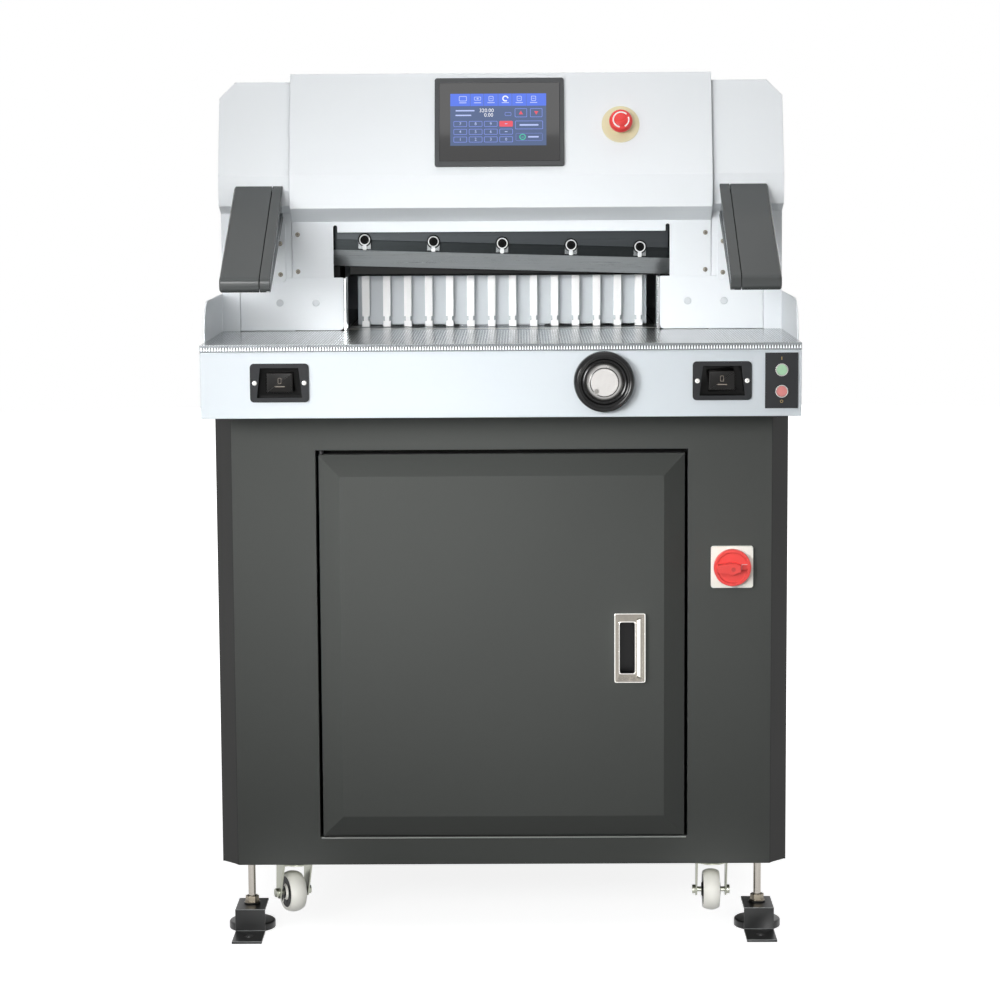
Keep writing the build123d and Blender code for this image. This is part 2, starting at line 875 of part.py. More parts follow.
# Table: grooved steel in front of the mouth, narrower between the side frames behind it
rear_table_half = frame_inner_x - running_gap
slot_front_y = mouth_y + comb_setback + slot_start
slot_back_y = table_back_y - slot_end_margin
with BuildPart() as work_table:
    wide_back_y = mouth_y - running_gap
    block((-table_half, table_half), (table_front_y, wide_back_y), (table_underside, table_height))
    block(
        (-rear_table_half, rear_table_half),
        (wide_back_y, table_back_y - sheet - running_gap),
        (table_underside, table_height),
    )
    block(
        (-slot_half, slot_half),
        (slot_front_y, slot_back_y),
        (table_underside - cut_overrun, table_height + cut_overrun),
        mode=Mode.SUBTRACT,
    )
    block(
        (-rear_table_half - cut_overrun, rear_table_half + cut_overrun),
        (knife_edge_y - stick_width / 2, knife_edge_y + stick_width / 2),
        (table_height - stick_height, table_height + cut_overrun),
        mode=Mode.SUBTRACT,
    )
save(work_table.part, "work_table")

with BuildPart() as cutting_stick:
    block(
        (-rear_table_half, rear_table_half),
        (knife_edge_y - stick_width / 2 + stick_fit, knife_edge_y + stick_width / 2 - stick_fit),
        (table_height - stick_height, table_height),
    )
save(cutting_stick.part, "cutting_stick")

# Apron: a folded sheet under the table's front edge, cut out for its controls
apron_front_y = table_front_y + apron_inset
apron_bottom = table_underside - apron_height
apron_end_y = mouth_y - running_gap
controls = facing_operator(0, apron_front_y, control_z)


def cut_well_outline(grow):
    """Draw the trapezium of a cut button's well, larger all round by grow."""
    half_height = cut_well_height / 2 + grow
    Polygon(
        (-cut_well_bottom_width / 2 - grow, -half_height),
        (cut_well_bottom_width / 2 + grow, -half_height),
        (cut_well_top_width / 2 + grow, half_height),
        (-cut_well_top_width / 2 - grow, half_height),
        align=None,
    )


with BuildPart() as table_apron:
    block((-table_half, table_half), (apron_front_y, apron_end_y), (apron_bottom, table_underside))
    block(
        (-table_half + sheet, table_half - sheet),
        (apron_front_y + sheet, apron_end_y + cut_overrun),
        (apron_bottom - cut_overrun, table_underside + cut_overrun),
        mode=Mode.SUBTRACT,
    )
    for x in (-cut_button_x, cut_button_x):
        with BuildSketch(facing_operator(x, apron_front_y, control_z)):
            cut_well_outline(cut_well_wall + running_gap)
        extrude(amount=-2 * sheet, mode=Mode.SUBTRACT)
    with BuildSketch(controls):
        with Locations((handwheel_x, 0)):
            Circle(encoder_shaft_radius + running_gap)
        with Locations((plate_x, start_rise), (plate_x, -start_rise)):
            Circle(push_stem_radius + push_play)
    extrude(amount=-2 * sheet, mode=Mode.SUBTRACT)
save(table_apron.part, "table_apron")

# Cut buttons: two recessed housings, so that neither can be pressed by accident
cut_face_y = apron_front_y - cut_housing_flange
housings = []
for x in (-cut_button_x, cut_button_x):
    with BuildPart() as cut_button_housing:
        with BuildSketch(facing_operator(x, apron_front_y, control_z)):
            RectangleRounded(cut_housing_width, cut_housing_height, cut_housing_corner)
        extrude(amount=cut_housing_flange)
        with BuildSketch(facing_operator(x, apron_front_y, control_z)):
            cut_well_outline(cut_well_wall)
        extrude(amount=-(cut_well_depth + cut_well_wall - cut_housing_flange))
        with BuildSketch(facing_operator(x, cut_face_y, control_z)):
            cut_well_outline(0)
        extrude(amount=-cut_well_depth, mode=Mode.SUBTRACT)
        with Locations(facing_operator(x, cut_face_y + cut_well_depth, control_z)):
            Hole(radius=cut_stem_radius + push_play, depth=2 * cut_well_wall)
    housings.append(cut_button_housing.part)
export_step(Compound(label="cut_button_housings", children=housings), "parts/cut_button_housings.step")

for name, x in {"cut_button_left": -cut_button_x, "cut_button_right": cut_button_x}.items():
    with BuildPart() as cut_button:
        with BuildSketch(facing_operator(x, cut_face_y + cut_button_drop, control_z)):
            Rectangle(cut_button_width, cut_button_height)
        extrude(amount=-(cut_well_depth - cut_button_drop - cut_travel - running_gap))
        fillet(cut_button.edges().filter_by(Axis.Y), radius=cut_button_rounding)
        chamfer(cut_button.faces().sort_by(Axis.Y)[0].edges(), length=cut_button_rounding / 2)
        button_back_y = cut_face_y + cut_well_depth - cut_travel - running_gap
        with BuildSketch(facing_operator(x, button_back_y, control_z)):
            Circle(cut_stem_radius)
        extrude(amount=-(cut_travel + running_gap + cut_well_wall + cut_travel))
    save(cut_button.part, name)

# Start and stop buttons on a dark plate at the right end of the apron
push_places = ((plate_x, start_rise), (plate_x, -start_rise))
with BuildPart() as button_plate:
    with BuildSketch(controls):
        with Locations((plate_x, 0)):
            Rectangle(plate_width, plate_height)
    extrude(amount=plate_thickness)
    with BuildSketch(controls.offset(plate_thickness)):
        with Locations(*push_places):
            Circle(push_ring_radius)
            Circle(push_ring_radius - push_ring_wall, mode=Mode.SUBTRACT)
    extrude(amount=push_ring_height)
    with BuildSketch(controls):
        with Locations(*push_places):
            Circle(push_stem_radius + push_play)
    extrude(amount=plate_thickness, mode=Mode.SUBTRACT)
save(button_plate.part, "button_plate")

push_radius = push_ring_radius - push_ring_wall - push_play
push_back_y = apron_front_y - plate_thickness - push_travel - push_play
for name, rise in {"start_button": start_rise, "stop_button": -start_rise}.items():
    with BuildPart() as push_button:
        with BuildSketch(facing_operator(plate_x, push_back_y, control_z + rise)):
            Circle(push_radius)
        extrude(amount=push_height)
        fillet(push_button.edges().sort_by(Axis.Y)[0], radius=push_rounding)
        with BuildSketch(facing_operator(plate_x, push_back_y, control_z + rise)):
            Circle(push_stem_radius)
        extrude(amount=-push_stem_length)
    save(push_button.part, name)

# Hand wheel: a black rim, a silver boss with a finger dimple, and an encoder behind the apron
wheel_back_y = apron_front_y - running_gap
wheel_front_y = wheel_back_y - handwheel_depth
with BuildPart() as handwheel:
    with BuildSketch(facing_operator(handwheel_x, wheel_back_y, control_z)):
        Circle(handwheel_radius)
    extrude(amount=handwheel_depth)
    rim_edge = handwheel.edges().sort_by(Axis.Y)[0]
    fillet(rim_edge, radius=boss_rise)
    with BuildSketch(facing_operator(handwheel_x, wheel_front_y, control_z)):
        Circle(boss_radius)
    extrude(amount=boss_rise)
    with BuildSketch(facing_operator(handwheel_x, wheel_front_y - boss_rise, control_z)):
        Circle(boss_disc_radius)
    extrude(amount=-boss_step, mode=Mode.SUBTRACT)
    with BuildSketch(facing_operator(handwheel_x, wheel_front_y - boss_rise + boss_step, control_z)):
        with Locations((dimple_x, dimple_z)):
            Circle(dimple_radius)
    extrude(amount=-dimple_depth, mode=Mode.SUBTRACT)
    with BuildSketch(facing_operator(handwheel_x, wheel_back_y, control_z)):
        Circle(encoder_shaft_radius)
    extrude(amount=-encoder_shaft_length)
save(handwheel.part, "handwheel")

with BuildPart() as handwheel_encoder:
    with BuildSketch(facing_operator(handwheel_x, apron_front_y + sheet, control_z)):
        Rectangle(2 * encoder_radius, 2 * encoder_radius)
    extrude(amount=-encoder_flange)
    with BuildSketch(facing_operator(handwheel_x, apron_front_y + sheet, control_z)):
        Circle(encoder_radius)
    extrude(amount=-encoder_length)
    with BuildSketch(facing_operator(handwheel_x, apron_front_y + sheet, control_z)):
        Circle(encoder_shaft_radius + running_gap)
    extrude(amount=-(encoder_shaft_length + running_gap), mode=Mode.SUBTRACT)
save(handwheel_encoder.part, "handwheel_encoder")

# Side fences: sheets that run past the mouth's corners along both ends of the table
fence_front_y = table_front_y + fence_front_inset
fences = []
for side in (-1, 1):
    with BuildPart() as fence:
        with BuildSketch(Plane.YZ.offset(side * table_half)):
            with BuildLine():
                low = table_height - fence_skirt
                high = table_height + fence_height
                Polyline((mouth_y, low), (fence_front_y, low), (fence_front_y, high - fence_radius))
                TangentArc(
                    (fence_front_y, high - fence_radius), (fence_front_y + fence_radius, high), tangent=(0, 1)
                )
                Polyline((fence_front_y + fence_radius, high), (mouth_y, high), (mouth_y, low))
            make_face()
        extrude(amount=side * fence_sheet)
    fences.append(fence.part)
export_step(Compound(label="side_fences", children=fences), "parts/side_fences.step")

# Lower mouth panels, each held by two round plugs
panel_low = table_height + running_gap
panel_back_y = mouth_y + panel_sheet
lower_panel_near = cutting_width / 2 + gauge_sheet + running_gap
lower_panel_far = table_half - housing_front_width - running_gap
lower_panels = []
for side in (-1, 1):
    with BuildPart() as lower_panel:
        x_span = sorted((side * lower_panel_near, side * lower_panel_far))
        block(x_span, (mouth_y, panel_back_y), (panel_low, clamp_bottom))
        inner = lower_panel.edges().filter_by(Axis.Y).group_by(Axis.Z)[0].sort_by(Axis.X)
        fillet(inner[0] if side > 0 else inner[-1], radius=panel_corner)
    lower_panels.append(lower_panel.part)
export_step(Compound(label="lower_mouth_panels", children=lower_panels), "parts/lower_mouth_panels.step")

# Upper mouth panel, with the knife window and its rounded relief slots
upper_panel_top = clamp_bottom + upper_panel_height
with BuildPart() as upper_mouth_panel:
    with BuildSketch(facing_operator(0, panel_back_y, clamp_bottom)):
        with Locations((0, upper_panel_height / 2)):
            Rectangle(2 * upper_panel_half, upper_panel_height)
        with Locations((0, (knife_window_height - cut_overrun) / 2)):
            Rectangle(2 * knife_window_half, knife_window_height + cut_overrun, mode=Mode.SUBTRACT)
        slot_rise = knife_window_height + relief_height / 2 - relief_width / 2
        for side in (-1, 1):
            with Locations((side * (knife_window_half - relief_width / 2), slot_rise)):
                Rectangle(relief_width, relief_height, mode=Mode.SUBTRACT)
            with Locations(
                (side * (knife_window_half - relief_width / 2), slot_rise + relief_height / 2)
            ):
                Circle(relief_width / 2, mode=Mode.SUBTRACT)
    extrude(amount=panel_sheet)
save(upper_mouth_panel.part, "upper_mouth_panel")

# Side gauges: polished strips along both sides of the paper, parted where the knife comes down
knife_space_front = panel_back_y + flange_depth
beam_front_y = knife_edge_y + slider_depth + 2 * running_gap
gauges = []
for side in (-1, 1):
    x_span = sorted((side * cutting_width / 2, side * (cutting_width / 2 + gauge_sheet)))
    for y_span in ((panel_back_y, knife_space_front), (beam_front_y, slot_back_y)):
        with BuildPart() as gauge:
            block(x_span, y_span, (panel_low, panel_low + gauge_height))
        gauges.append(gauge.part)
export_step(Compound(label="side_gauges", children=gauges), "parts/side_gauges.step")

# Screws of the panels, the arm brackets and the cut-button housings, and the panels' plugs
panel_screws = []
bracket_face_y = mouth_y - sheet
for side in (-1, 1):
    screw_places = [
        (side * screw_x, mouth_y, table_height + screw_low_z),
        (side * screw_x, mouth_y, table_height + screw_high_z),
        (side * bracket_screw_x, bracket_face_y, table_height + bracket_screw_low),
        (side * bracket_screw_x, bracket_face_y, table_height + bracket_screw_high),
        (side * cut_button_x - well_screw_offset, cut_face_y, control_z),
        (side * cut_button_x + well_screw_offset, cut_face_y, control_z),
    ]
    for x, y, z in screw_places:
        with BuildPart() as screw:
            with BuildSketch(facing_operator(x, y, z)):
                Circle(screw_radius)
            extrude(amount=screw_rise)
            fillet(screw.edges().sort_by(Axis.Y)[0], radius=screw_rise / 2)
        panel_screws.append(screw.part)
    for x in (plug_near_x, plug_far_x):
        with BuildPart() as plug:
            with BuildSketch(facing_operator(side * x, mouth_y, table_height + plug_rise_z)):
                Circle(plug_radius)
            extrude(amount=plug_rise)
        panel_screws.append(plug.part)
export_step(Compound(label="panel_screws", children=panel_screws), "parts/panel_screws.step")

# Head centre cover: one bent sheet, leaned back above its crease
lean = radians(head_lean)
head_front_y = mouth_y - head_overhang
head_top_z = head_crease_z + head_face_length * cos(lean)
head_brow_y = head_front_y + head_face_length * sin(lean)
head_back_y = head_brow_y + head_top_depth
head_heel_z = clamp_bottom + upper_panel_height


def head_outline(inset):
    """Draw the centre cover's side outline, smaller all round by inset."""
    Polygon(
        (mouth_y + inset, head_heel_z + inset),
        (head_front_y + inset, head_chin_z + inset),
        (head_front_y + inset, head_crease_z),
        (head_brow_y + inset, head_top_z - inset),
        (head_back_y - inset, head_top_z - inset),
        (head_back_y - inset, head_heel_z + inset),
        align=None,
    )


with BuildPart() as head_centre_cover:
    with BuildSketch(Plane.YZ):
        head_outline(0)
    extrude(amount=upper_panel_half, both=True)
    with BuildSketch(Plane.YZ):
        head_outline(sheet)
    extrude(amount=upper_panel_half + cut_overrun, both=True, mode=Mode.SUBTRACT)
    block(
        (-upper_panel_half, upper_panel_half),
        (mouth_y + sheet, head_back_y - sheet - cut_overrun),
        (head_heel_z - cut_overrun, head_heel_z + sheet + cut_overrun),
        mode=Mode.SUBTRACT,
    )
    panel_plane = Plane(
        origin=(0, head_front_y, head_crease_z), x_dir=(1, 0, 0), z_dir=(0, -cos(lean), sin(lean))
    )
    with BuildSketch(panel_plane):
        with Locations((bezel_x, bezel_u)):
            Rectangle(bezel_width - 2 * screen_body_inset, bezel_height - 2 * screen_body_inset)
        with Locations((estop_x, estop_u)):
            Circle(estop_barrel_radius + running_gap)
    extrude(amount=-2 * sheet, mode=Mode.SUBTRACT)
save(head_centre_cover.part, "head_centre_cover")

# Side housings: the casings beside the centre cover, down to the apron's lower edge
side_front_y = head_front_y + side_step
side_top_z = head_crease_z + side_face_length * cos(lean)
side_brow_y = side_front_y + side_face_length * sin(lean)
side_chin_z = head_chin_z + side_chin_rise
side_heel_z = side_chin_z - side_chin_drop
hood_top_front = table_height + hood_front_height
hood_top_rear = table_height + hood_rear_height


def side_outline(inset):
    """Draw a side housing's outline from the skirt to the head, smaller all round by inset."""
    Polygon(
        (mouth_y + inset, apron_bottom + inset),
        (mouth_y + inset, side_heel_z + inset),
        (side_front_y + inset, side_chin_z + inset),
        (side_front_y + inset, head_crease_z),
        (side_brow_y + inset, side_top_z - inset),
        (head_back_y - inset, side_top_z - inset),
        (head_back_y - inset, hood_top_front - inset),
        (head_back_y + hood_flat - inset, hood_top_front - inset),
        (table_back_y - inset, hood_top_rear - inset),
        (table_back_y - inset, apron_bottom + inset),
        align=None,
    )


housing_near = upper_panel_half + seam_gap
housing_strip = table_half - housing_front_width


def top_corner(side, x, z):
    """Draw the triangle that a housing's bevelled top corner leaves out."""
    Polygon(
        (side * (x - side_corner - cut_overrun), z + cut_overrun),
        (side * (x + cut_overrun), z + cut_overrun),
        (side * (x + cut_overrun), z - side_corner - cut_overrun),
        align=None,
    )


housings = []
for side in (-1, 1):
    with BuildPart(mode=Mode.PRIVATE) as cavity:
        with BuildSketch(Plane.YZ.offset(side * (housing_near - cut_overrun))):
            side_outline(sheet)
        extrude(amount=side * (table_half - sheet - housing_near + cut_overrun))
        block(
            sorted((side * (housing_near - cut_overrun), side * (table_half - sheet))),
            (mouth_y + sheet, table_back_y - sheet),
            (apron_bottom - cut_overrun, apron_bottom + 2 * sheet),
        )
        with BuildSketch(Plane.XZ.offset(-mouth_y + head_overhang)):
            top_corner(side, table_half - sheet, side_top_z - sheet)
        extrude(amount=-overall_depth, mode=Mode.SUBTRACT)
    with BuildPart() as side_housing:
        with BuildSketch(Plane.YZ.offset(side * housing_near)):
            side_outline(0)
        extrude(amount=side * (table_half - housing_near))
        with BuildSketch(Plane.XZ.offset(-mouth_y + head_overhang)):
            top_corner(side, table_half, side_top_z)
        extrude(amount=-overall_depth, mode=Mode.SUBTRACT)
        inner_x = side * (housing_near - cut_overrun)
        block(
            sorted((inner_x, side * housing_strip)),
            (mouth_y - cut_overrun, table_back_y + cut_overrun),
            (apron_bottom - cut_overrun, clamp_bottom),
            mode=Mode.SUBTRACT,
        )
        block(
            sorted((inner_x, side * housing_strip)),
            (head_back_y, table_back_y + cut_overrun),
            (apron_bottom - cut_overrun, side_top_z),
            mode=Mode.SUBTRACT,
        )
        block(
            sorted((inner_x, side * (cabinet_half + running_gap))),
            (mouth_y - cut_overrun, cabinet_rear_y + running_gap),
            (apron_bottom - cut_overrun, frame_base_z + running_gap),
            mode=Mode.SUBTRACT,
        )
        add(cavity.part, mode=Mode.SUBTRACT)
    with BuildPart() as arm_bracket:
        block(
            sorted((side * arm_bracket_near, side * (arm_bracket_near + arm_bracket_width))),
            (bracket_face_y, mouth_y),
            (table_height + arm_bracket_low, table_height + arm_bracket_high),
        )
        corners = arm_bracket.edges().filter_by(Axis.Y).group_by(Axis.Z)[0].sort_by(Axis.X)
        fillet(corners[0] if side > 0 else corners[-1], radius=arm_bracket_corner)
    housings += [side_housing.part, arm_bracket.part]
export_step(Compound(label="side_housings", children=housings), "parts/side_housings.step")

# Rear hood: a bent sheet over the rear table
hood_half = table_half - housing_front_width - seam_gap
with BuildPart() as rear_hood:
    with BuildSketch(Plane.YZ):
        with BuildLine():
            Polyline(
                (head_back_y + seam_gap, hood_top_front - sheet),
                (head_back_y + seam_gap, hood_top_front),
                (head_back_y + hood_flat, hood_top_front),
                (table_back_y, hood_top_rear),
                (table_back_y, apron_bottom),
                (table_back_y - sheet, apron_bottom),
                (table_back_y - sheet, hood_top_rear - sheet),
                (head_back_y + hood_flat - sheet, hood_top_front - sheet),
                close=True,
            )
        make_face()
    extrude(amount=hood_half, both=True)
save(rear_hood.part, "rear_hood")

# Touch screen: a bezel with its electronics box behind the sheet, and a glass front
with BuildPart() as touch_screen_bezel:
    with BuildSketch(panel_plane):
        with Locations((bezel_x, bezel_u)):
            RectangleRounded(bezel_width, bezel_height, bezel_corner)
    extrude(amount=bezel_thickness)
    with BuildSketch(panel_plane):
        with Locations((bezel_x, bezel_u)):
            body_width = bezel_width - 2 * screen_body_inset - running_gap
            body_height = bezel_height - 2 * screen_body_inset - running_gap
            Rectangle(body_width, body_height)
    extrude(amount=-screen_body_depth)
    with BuildSketch(panel_plane.offset(bezel_thickness)):
        with Locations((bezel_x, bezel_u)):
            Rectangle(glass_width, glass_height)
    extrude(amount=-glass_thickness, mode=Mode.SUBTRACT)
save(touch_screen_bezel.part, "touch_screen_bezel")

with BuildPart() as touch_screen_glass:
    with BuildSketch(panel_plane.offset(bezel_thickness - glass_thickness)):
        with Locations((bezel_x, bezel_u)):
            Rectangle(glass_width, glass_height)
    extrude(amount=glass_thickness)
save(touch_screen_glass.part, "touch_screen_glass")

# Emergency stop: ring and barrel on the cover, a plunger that latches and a head that turns
estop_plane = panel_plane.shift_origin(panel_plane.from_local_coords((estop_x, estop_u, 0)))
collar_top = estop_ring_thickness + estop_collar_height
with BuildPart() as estop_base:
    with BuildSketch(estop_plane):
        Circle(estop_ring_radius)
    extrude(amount=estop_ring_thickness)
    with BuildSketch(estop_plane):
        Circle(estop_collar_radius)
    extrude(amount=collar_top)
    with BuildSketch(estop_plane):
        Circle(estop_barrel_radius)
    extrude(amount=-estop_barrel_depth)
    with BuildSketch(estop_plane.offset(collar_top)):
        Circle(estop_plunger_radius + estop_play)
    extrude(amount=-(estop_plunger_length + estop_travel), mode=Mode.SUBTRACT)
save(estop_base.part, "estop_base")

plunger_top = collar_top + estop_travel + running_gap
with BuildPart() as estop_plunger:
    with BuildSketch(estop_plane.offset(plunger_top)):
        Circle(estop_plunger_radius)
    extrude(amount=-estop_plunger_length)
save(estop_plunger.part, "estop_plunger")

head_bottom = plunger_top + running_gap
with BuildPart() as estop_head:
    with BuildSketch(estop_plane.offset(head_bottom)):
        Circle(estop_neck_radius)
    extrude(amount=estop_neck_height)
    with BuildSketch(estop_plane.offset(head_bottom + estop_neck_height)):
        Circle(estop_head_radius)
    extrude(amount=estop_head_height)
    press_axis = Axis(estop_plane.origin, estop_plane.z_dir)
    fillet(estop_head.faces().sort_by(press_axis)[-1].edges(), radius=estop_head_rounding)
save(estop_head.part, "estop_head")

# Light-curtain arms: dark housings that slope forward from the head, with a bar on the inner side
arm_angle = atan2(arm_drop, arm_reach)
arm_root_y = side_front_y
arm_tip_y = arm_root_y - arm_reach
arm_tip_z = arm_root_z - arm_drop
arm_thick_z = arm_thickness / cos(arm_angle)


def arm_outline(inset):
    """Draw an arm's side outline, from the head's face to its rounded nose."""
    Polygon(
        (arm_root_y, arm_root_z - inset),
        (arm_tip_y + inset, arm_tip_z - inset),
        (arm_tip_y + inset, arm_tip_z - arm_nose_height + inset),
        (arm_root_y, arm_root_z - arm_thick_z + inset),
        align=None,
    )


arms = []
bars = []
for side in (-1, 1):
    with BuildPart() as arm:
        with BuildSketch(Plane.YZ.offset(side * (arm_inner_x + arm_cap_width + arm_cap_gap))):
            arm_outline(0)
        extrude(amount=side * (arm_outer_x - arm_inner_x - arm_cap_width - arm_cap_gap))
        nose = arm.edges().filter_by(Axis.X).sort_by(Axis.Y)[0:2]
        fillet(nose, radius=arm_nose_radius)
        outer_face = arm.faces().filter_by(Axis.X).sort_by(Axis.X)[-1 if side > 0 else 0]
        fillet(outer_face.edges(), radius=arm_edge_radius)
    with BuildPart() as cap:
        with BuildSketch(Plane.YZ.offset(side * arm_inner_x)):
            arm_outline(0)
        extrude(amount=side * arm_cap_width)
        nose = cap.edges().filter_by(Axis.X).sort_by(Axis.Y)[0:2]
        fillet(nose, radius=arm_nose_radius)
        with BuildSketch(Plane.YZ.offset(side * (arm_inner_x + arm_cap_width))):
            arm_outline(arm_nose_radius)
        extrude(amount=side * arm_cap_gap)
        with BuildSketch(Plane.YZ.offset(side * (arm_inner_x - cut_overrun))):
            arm_outline(bar_margin)
        extrude(amount=side * (bar_thickness + cut_overrun), mode=Mode.SUBTRACT)
    arms += [arm.part, cap.part]
    with BuildPart() as bar:
        bar_x = side * (arm_inner_x + bar_sink)
        with BuildSketch(Plane.YZ.offset(bar_x)):
            arm_outline(bar_margin + bar_play)
        extrude(amount=side * (bar_thickness - bar_sink))
        with BuildSketch(Plane.YZ.offset(bar_x)):
            arm_outline(bar_inset)
        extrude(amount=side * bar_window_depth, mode=Mode.SUBTRACT)
    bars.append(bar.part)
export_step(Compound(label="curtain_arms", children=arms), "parts/curtain_arms.step")
export_step(Compound(label="curtain_bars", children=bars), "parts/curtain_bars.step")

# Main frame: side frames with rails, posts and front flanges, and a head beam with slanted guides
beam_back_y = beam_front_y + beam_depth
frame_outer_x = frame_inner_x + frame_thickness
slant = radians(knife_slant)
tilt = radians(knife_tilt)
knife_drop = blade_edge_z + knife_pivot_rise * (1 - cos(tilt)) - table_height - knife_stop_gap
knife_travel = knife_drop / cos(slant)
travel_x = -knife_travel * sin(slant)
travel_z = -knife_travel * cos(slant)
guide_pin_z = slider_bottom + guide_pin_rise
clamp_front_y = beam_front_y + running_gap
clamp_back_y = clamp_front_y + clamp_depth
rod_y = (clamp_front_y + clamp_back_y) / 2
frames = []
for side in (-1, 1):
    with BuildPart() as side_frame:
        x_span = sorted((side * frame_inner_x, side * frame_outer_x))
        block(x_span, (cabinet_front_y - frame_reach, slot_back_y), (frame_base_z, table_underside))
        block(x_span, (beam_front_y, beam_front_y + frame_post_depth), (frame_base_z, frame_top))
        block(
            sorted((side * flange_near_x, side * flange_far_x)),
            (panel_back_y, knife_space_front),
            (frame_base_z, upper_panel_top),
        )
    frames.append(side_frame.part)
with BuildPart() as head_beam:
    block((-frame_inner_x, frame_inner_x), (beam_front_y, beam_back_y), (beam_bottom, frame_top))
    with BuildSketch(facing_operator(0, beam_front_y, guide_pin_z)):
        guide_width = 2 * (guide_pin_radius + guide_play)
        for x in (-guide_pin_x, guide_pin_x):
            with Locations(Location((x + travel_x / 2, travel_z / 2), 90 - knife_slant)):
                SlotCenterToCenter(knife_travel, guide_width)
    extrude(amount=-(guide_depth + running_gap), mode=Mode.SUBTRACT)
    with BuildSketch(Plane.XY.offset(beam_bottom)):
        with Locations((-rod_x, rod_y), (rod_x, rod_y)):
            Circle(rod_radius + rod_play)
    extrude(amount=frame_top - beam_bottom - sheet, mode=Mode.SUBTRACT)
frames.append(head_beam.part)
export_step(Compound(label="main_frame", children=frames), "parts/main_frame.step")

# Knife slider: a plate with two guide pins that run in the beam's slanted guides
slider_back_y = beam_front_y - running_gap
slider_front_y = slider_back_y - slider_depth
with BuildPart() as knife_slider:
    block((-slider_half, slider_half), (slider_front_y, slider_back_y), (slider_bottom, slider_top))
    with BuildSketch(facing_operator(0, slider_front_y, (slider_bottom + slider_top) / 2)):
        with GridLocations(slider_half, 0, 2, 1):
            RectangleRounded(slider_half - slider_web, slider_cutout_height, guide_pin_radius)
    extrude(amount=-slider_depth, mode=Mode.SUBTRACT)
    with BuildSketch(facing_operator(0, slider_front_y, guide_pin_z)):
        with Locations((-guide_pin_x, 0), (guide_pin_x, 0)):
            Circle(guide_pin_radius + guide_pin_collar)
    extrude(amount=-slider_depth)
    with BuildSketch(facing_operator(0, slider_back_y, guide_pin_z)):
        with Locations((-guide_pin_x, 0), (guide_pin_x, 0)):
            Circle(guide_pin_radius)
    extrude(amount=-(guide_depth + running_gap))
save(knife_slider.part, "knife_slider")

# Knife: a ground blade under a carrier bar, tilted at rest and levelled as it comes down
knife_plane = Plane(
    origin=(0, knife_edge_y, blade_edge_z), x_dir=(cos(tilt), 0, -sin(tilt)), z_dir=(0, -1, 0)
)
knife_section = Plane(origin=knife_plane.origin, x_dir=(0, 1, 0), z_dir=knife_plane.x_dir)
with BuildPart() as knife_blade:
    with BuildSketch(knife_section):
        with BuildLine():
            Polyline(
                (0, 0),
                (0, blade_height),
                (-blade_depth, blade_height),
                (-blade_depth, blade_bevel_height),
                close=True,
            )
        make_face()
    extrude(amount=blade_half, both=True)
    with BuildSketch(knife_plane.offset(blade_depth)):
        with Locations((0, bolt_rise)):
            with GridLocations(bolt_pitch, 0, bolt_count, 1):
                Circle(bolt_shank_radius)
    extrude(amount=-blade_depth, mode=Mode.SUBTRACT)
save(knife_blade.part, "knife_blade")

with BuildPart() as knife_carrier:
    with BuildSketch(knife_plane.offset(blade_depth)):
        with Locations((0, carrier_bottom_rise + carrier_height / 2)):
            Rectangle(2 * carrier_half, carrier_height)
        with Locations((0, bolt_rise)):
            with GridLocations(bolt_pitch, 0, bolt_count, 1):
                Circle(bolt_shank_radius, mode=Mode.SUBTRACT)
    extrude(amount=carrier_depth)
save(knife_carrier.part, "knife_carrier")

# Knife bolts: each clamps the blade through a small slotted plate at the carrier's lower edge
bolts = []
bolt_seat = blade_depth + carrier_depth
plate_top = bolt_seat + bolt_plate_thickness
for index in range(bolt_count):
    x = (index - (bolt_count - 1) / 2) * bolt_pitch
    with BuildPart() as bolt:
        with BuildSketch(knife_plane.offset(bolt_seat)):
            with Locations((x, bolt_rise + (bolt_plate_rise - bolt_plate_drop) / 2)):
                Rectangle(bolt_plate_width, bolt_plate_rise + bolt_plate_drop)
            with Locations((x, bolt_rise - bolt_plate_drop + bolt_slot_depth / 2)):
                Rectangle(bolt_slot_width, bolt_slot_depth, mode=Mode.SUBTRACT)
        extrude(amount=bolt_plate_thickness)
        with BuildSketch(knife_plane.offset(bolt_seat)):
            with Locations((x, bolt_rise)):
                Circle(bolt_head_radius)
        extrude(amount=bolt_plate_thickness + bolt_head_height)
        with BuildSketch(knife_plane.offset(plate_top + bolt_head_height)):
            with Locations((x, bolt_rise)):
                RegularPolygon(bolt_socket_radius, bolt_socket_sides)
        extrude(amount=-bolt_socket_depth, mode=Mode.SUBTRACT)
        with BuildSketch(knife_plane):
            with Locations((x, bolt_rise)):
                Circle(bolt_shank_radius)
        extrude(amount=bolt_seat)
    bolts.append(bolt.part)
export_step(Compound(label="knife_bolts", children=bolts), "parts/knife_bolts.step")

# Clamp beam: comes down on the paper behind the knife, on two rods
with BuildPart() as clamp_beam:
    block(
        (-clamp_half, clamp_half),
        (clamp_front_y, clamp_back_y),
        (clamp_bottom, clamp_bottom + clamp_height),
    )
    foot_edges = clamp_beam.edges().filter_by(Axis.X).group_by(Axis.Z)[0]
    chamfer(foot_edges, length=clamp_foot_bevel)
    with BuildSketch(Plane.XY.offset(clamp_bottom + clamp_height)):
        with Locations((-rod_x, rod_y), (rod_x, rod_y)):
            Circle(rod_radius)
    extrude(amount=rod_length)
save(clamp_beam.part, "clamp_beam")

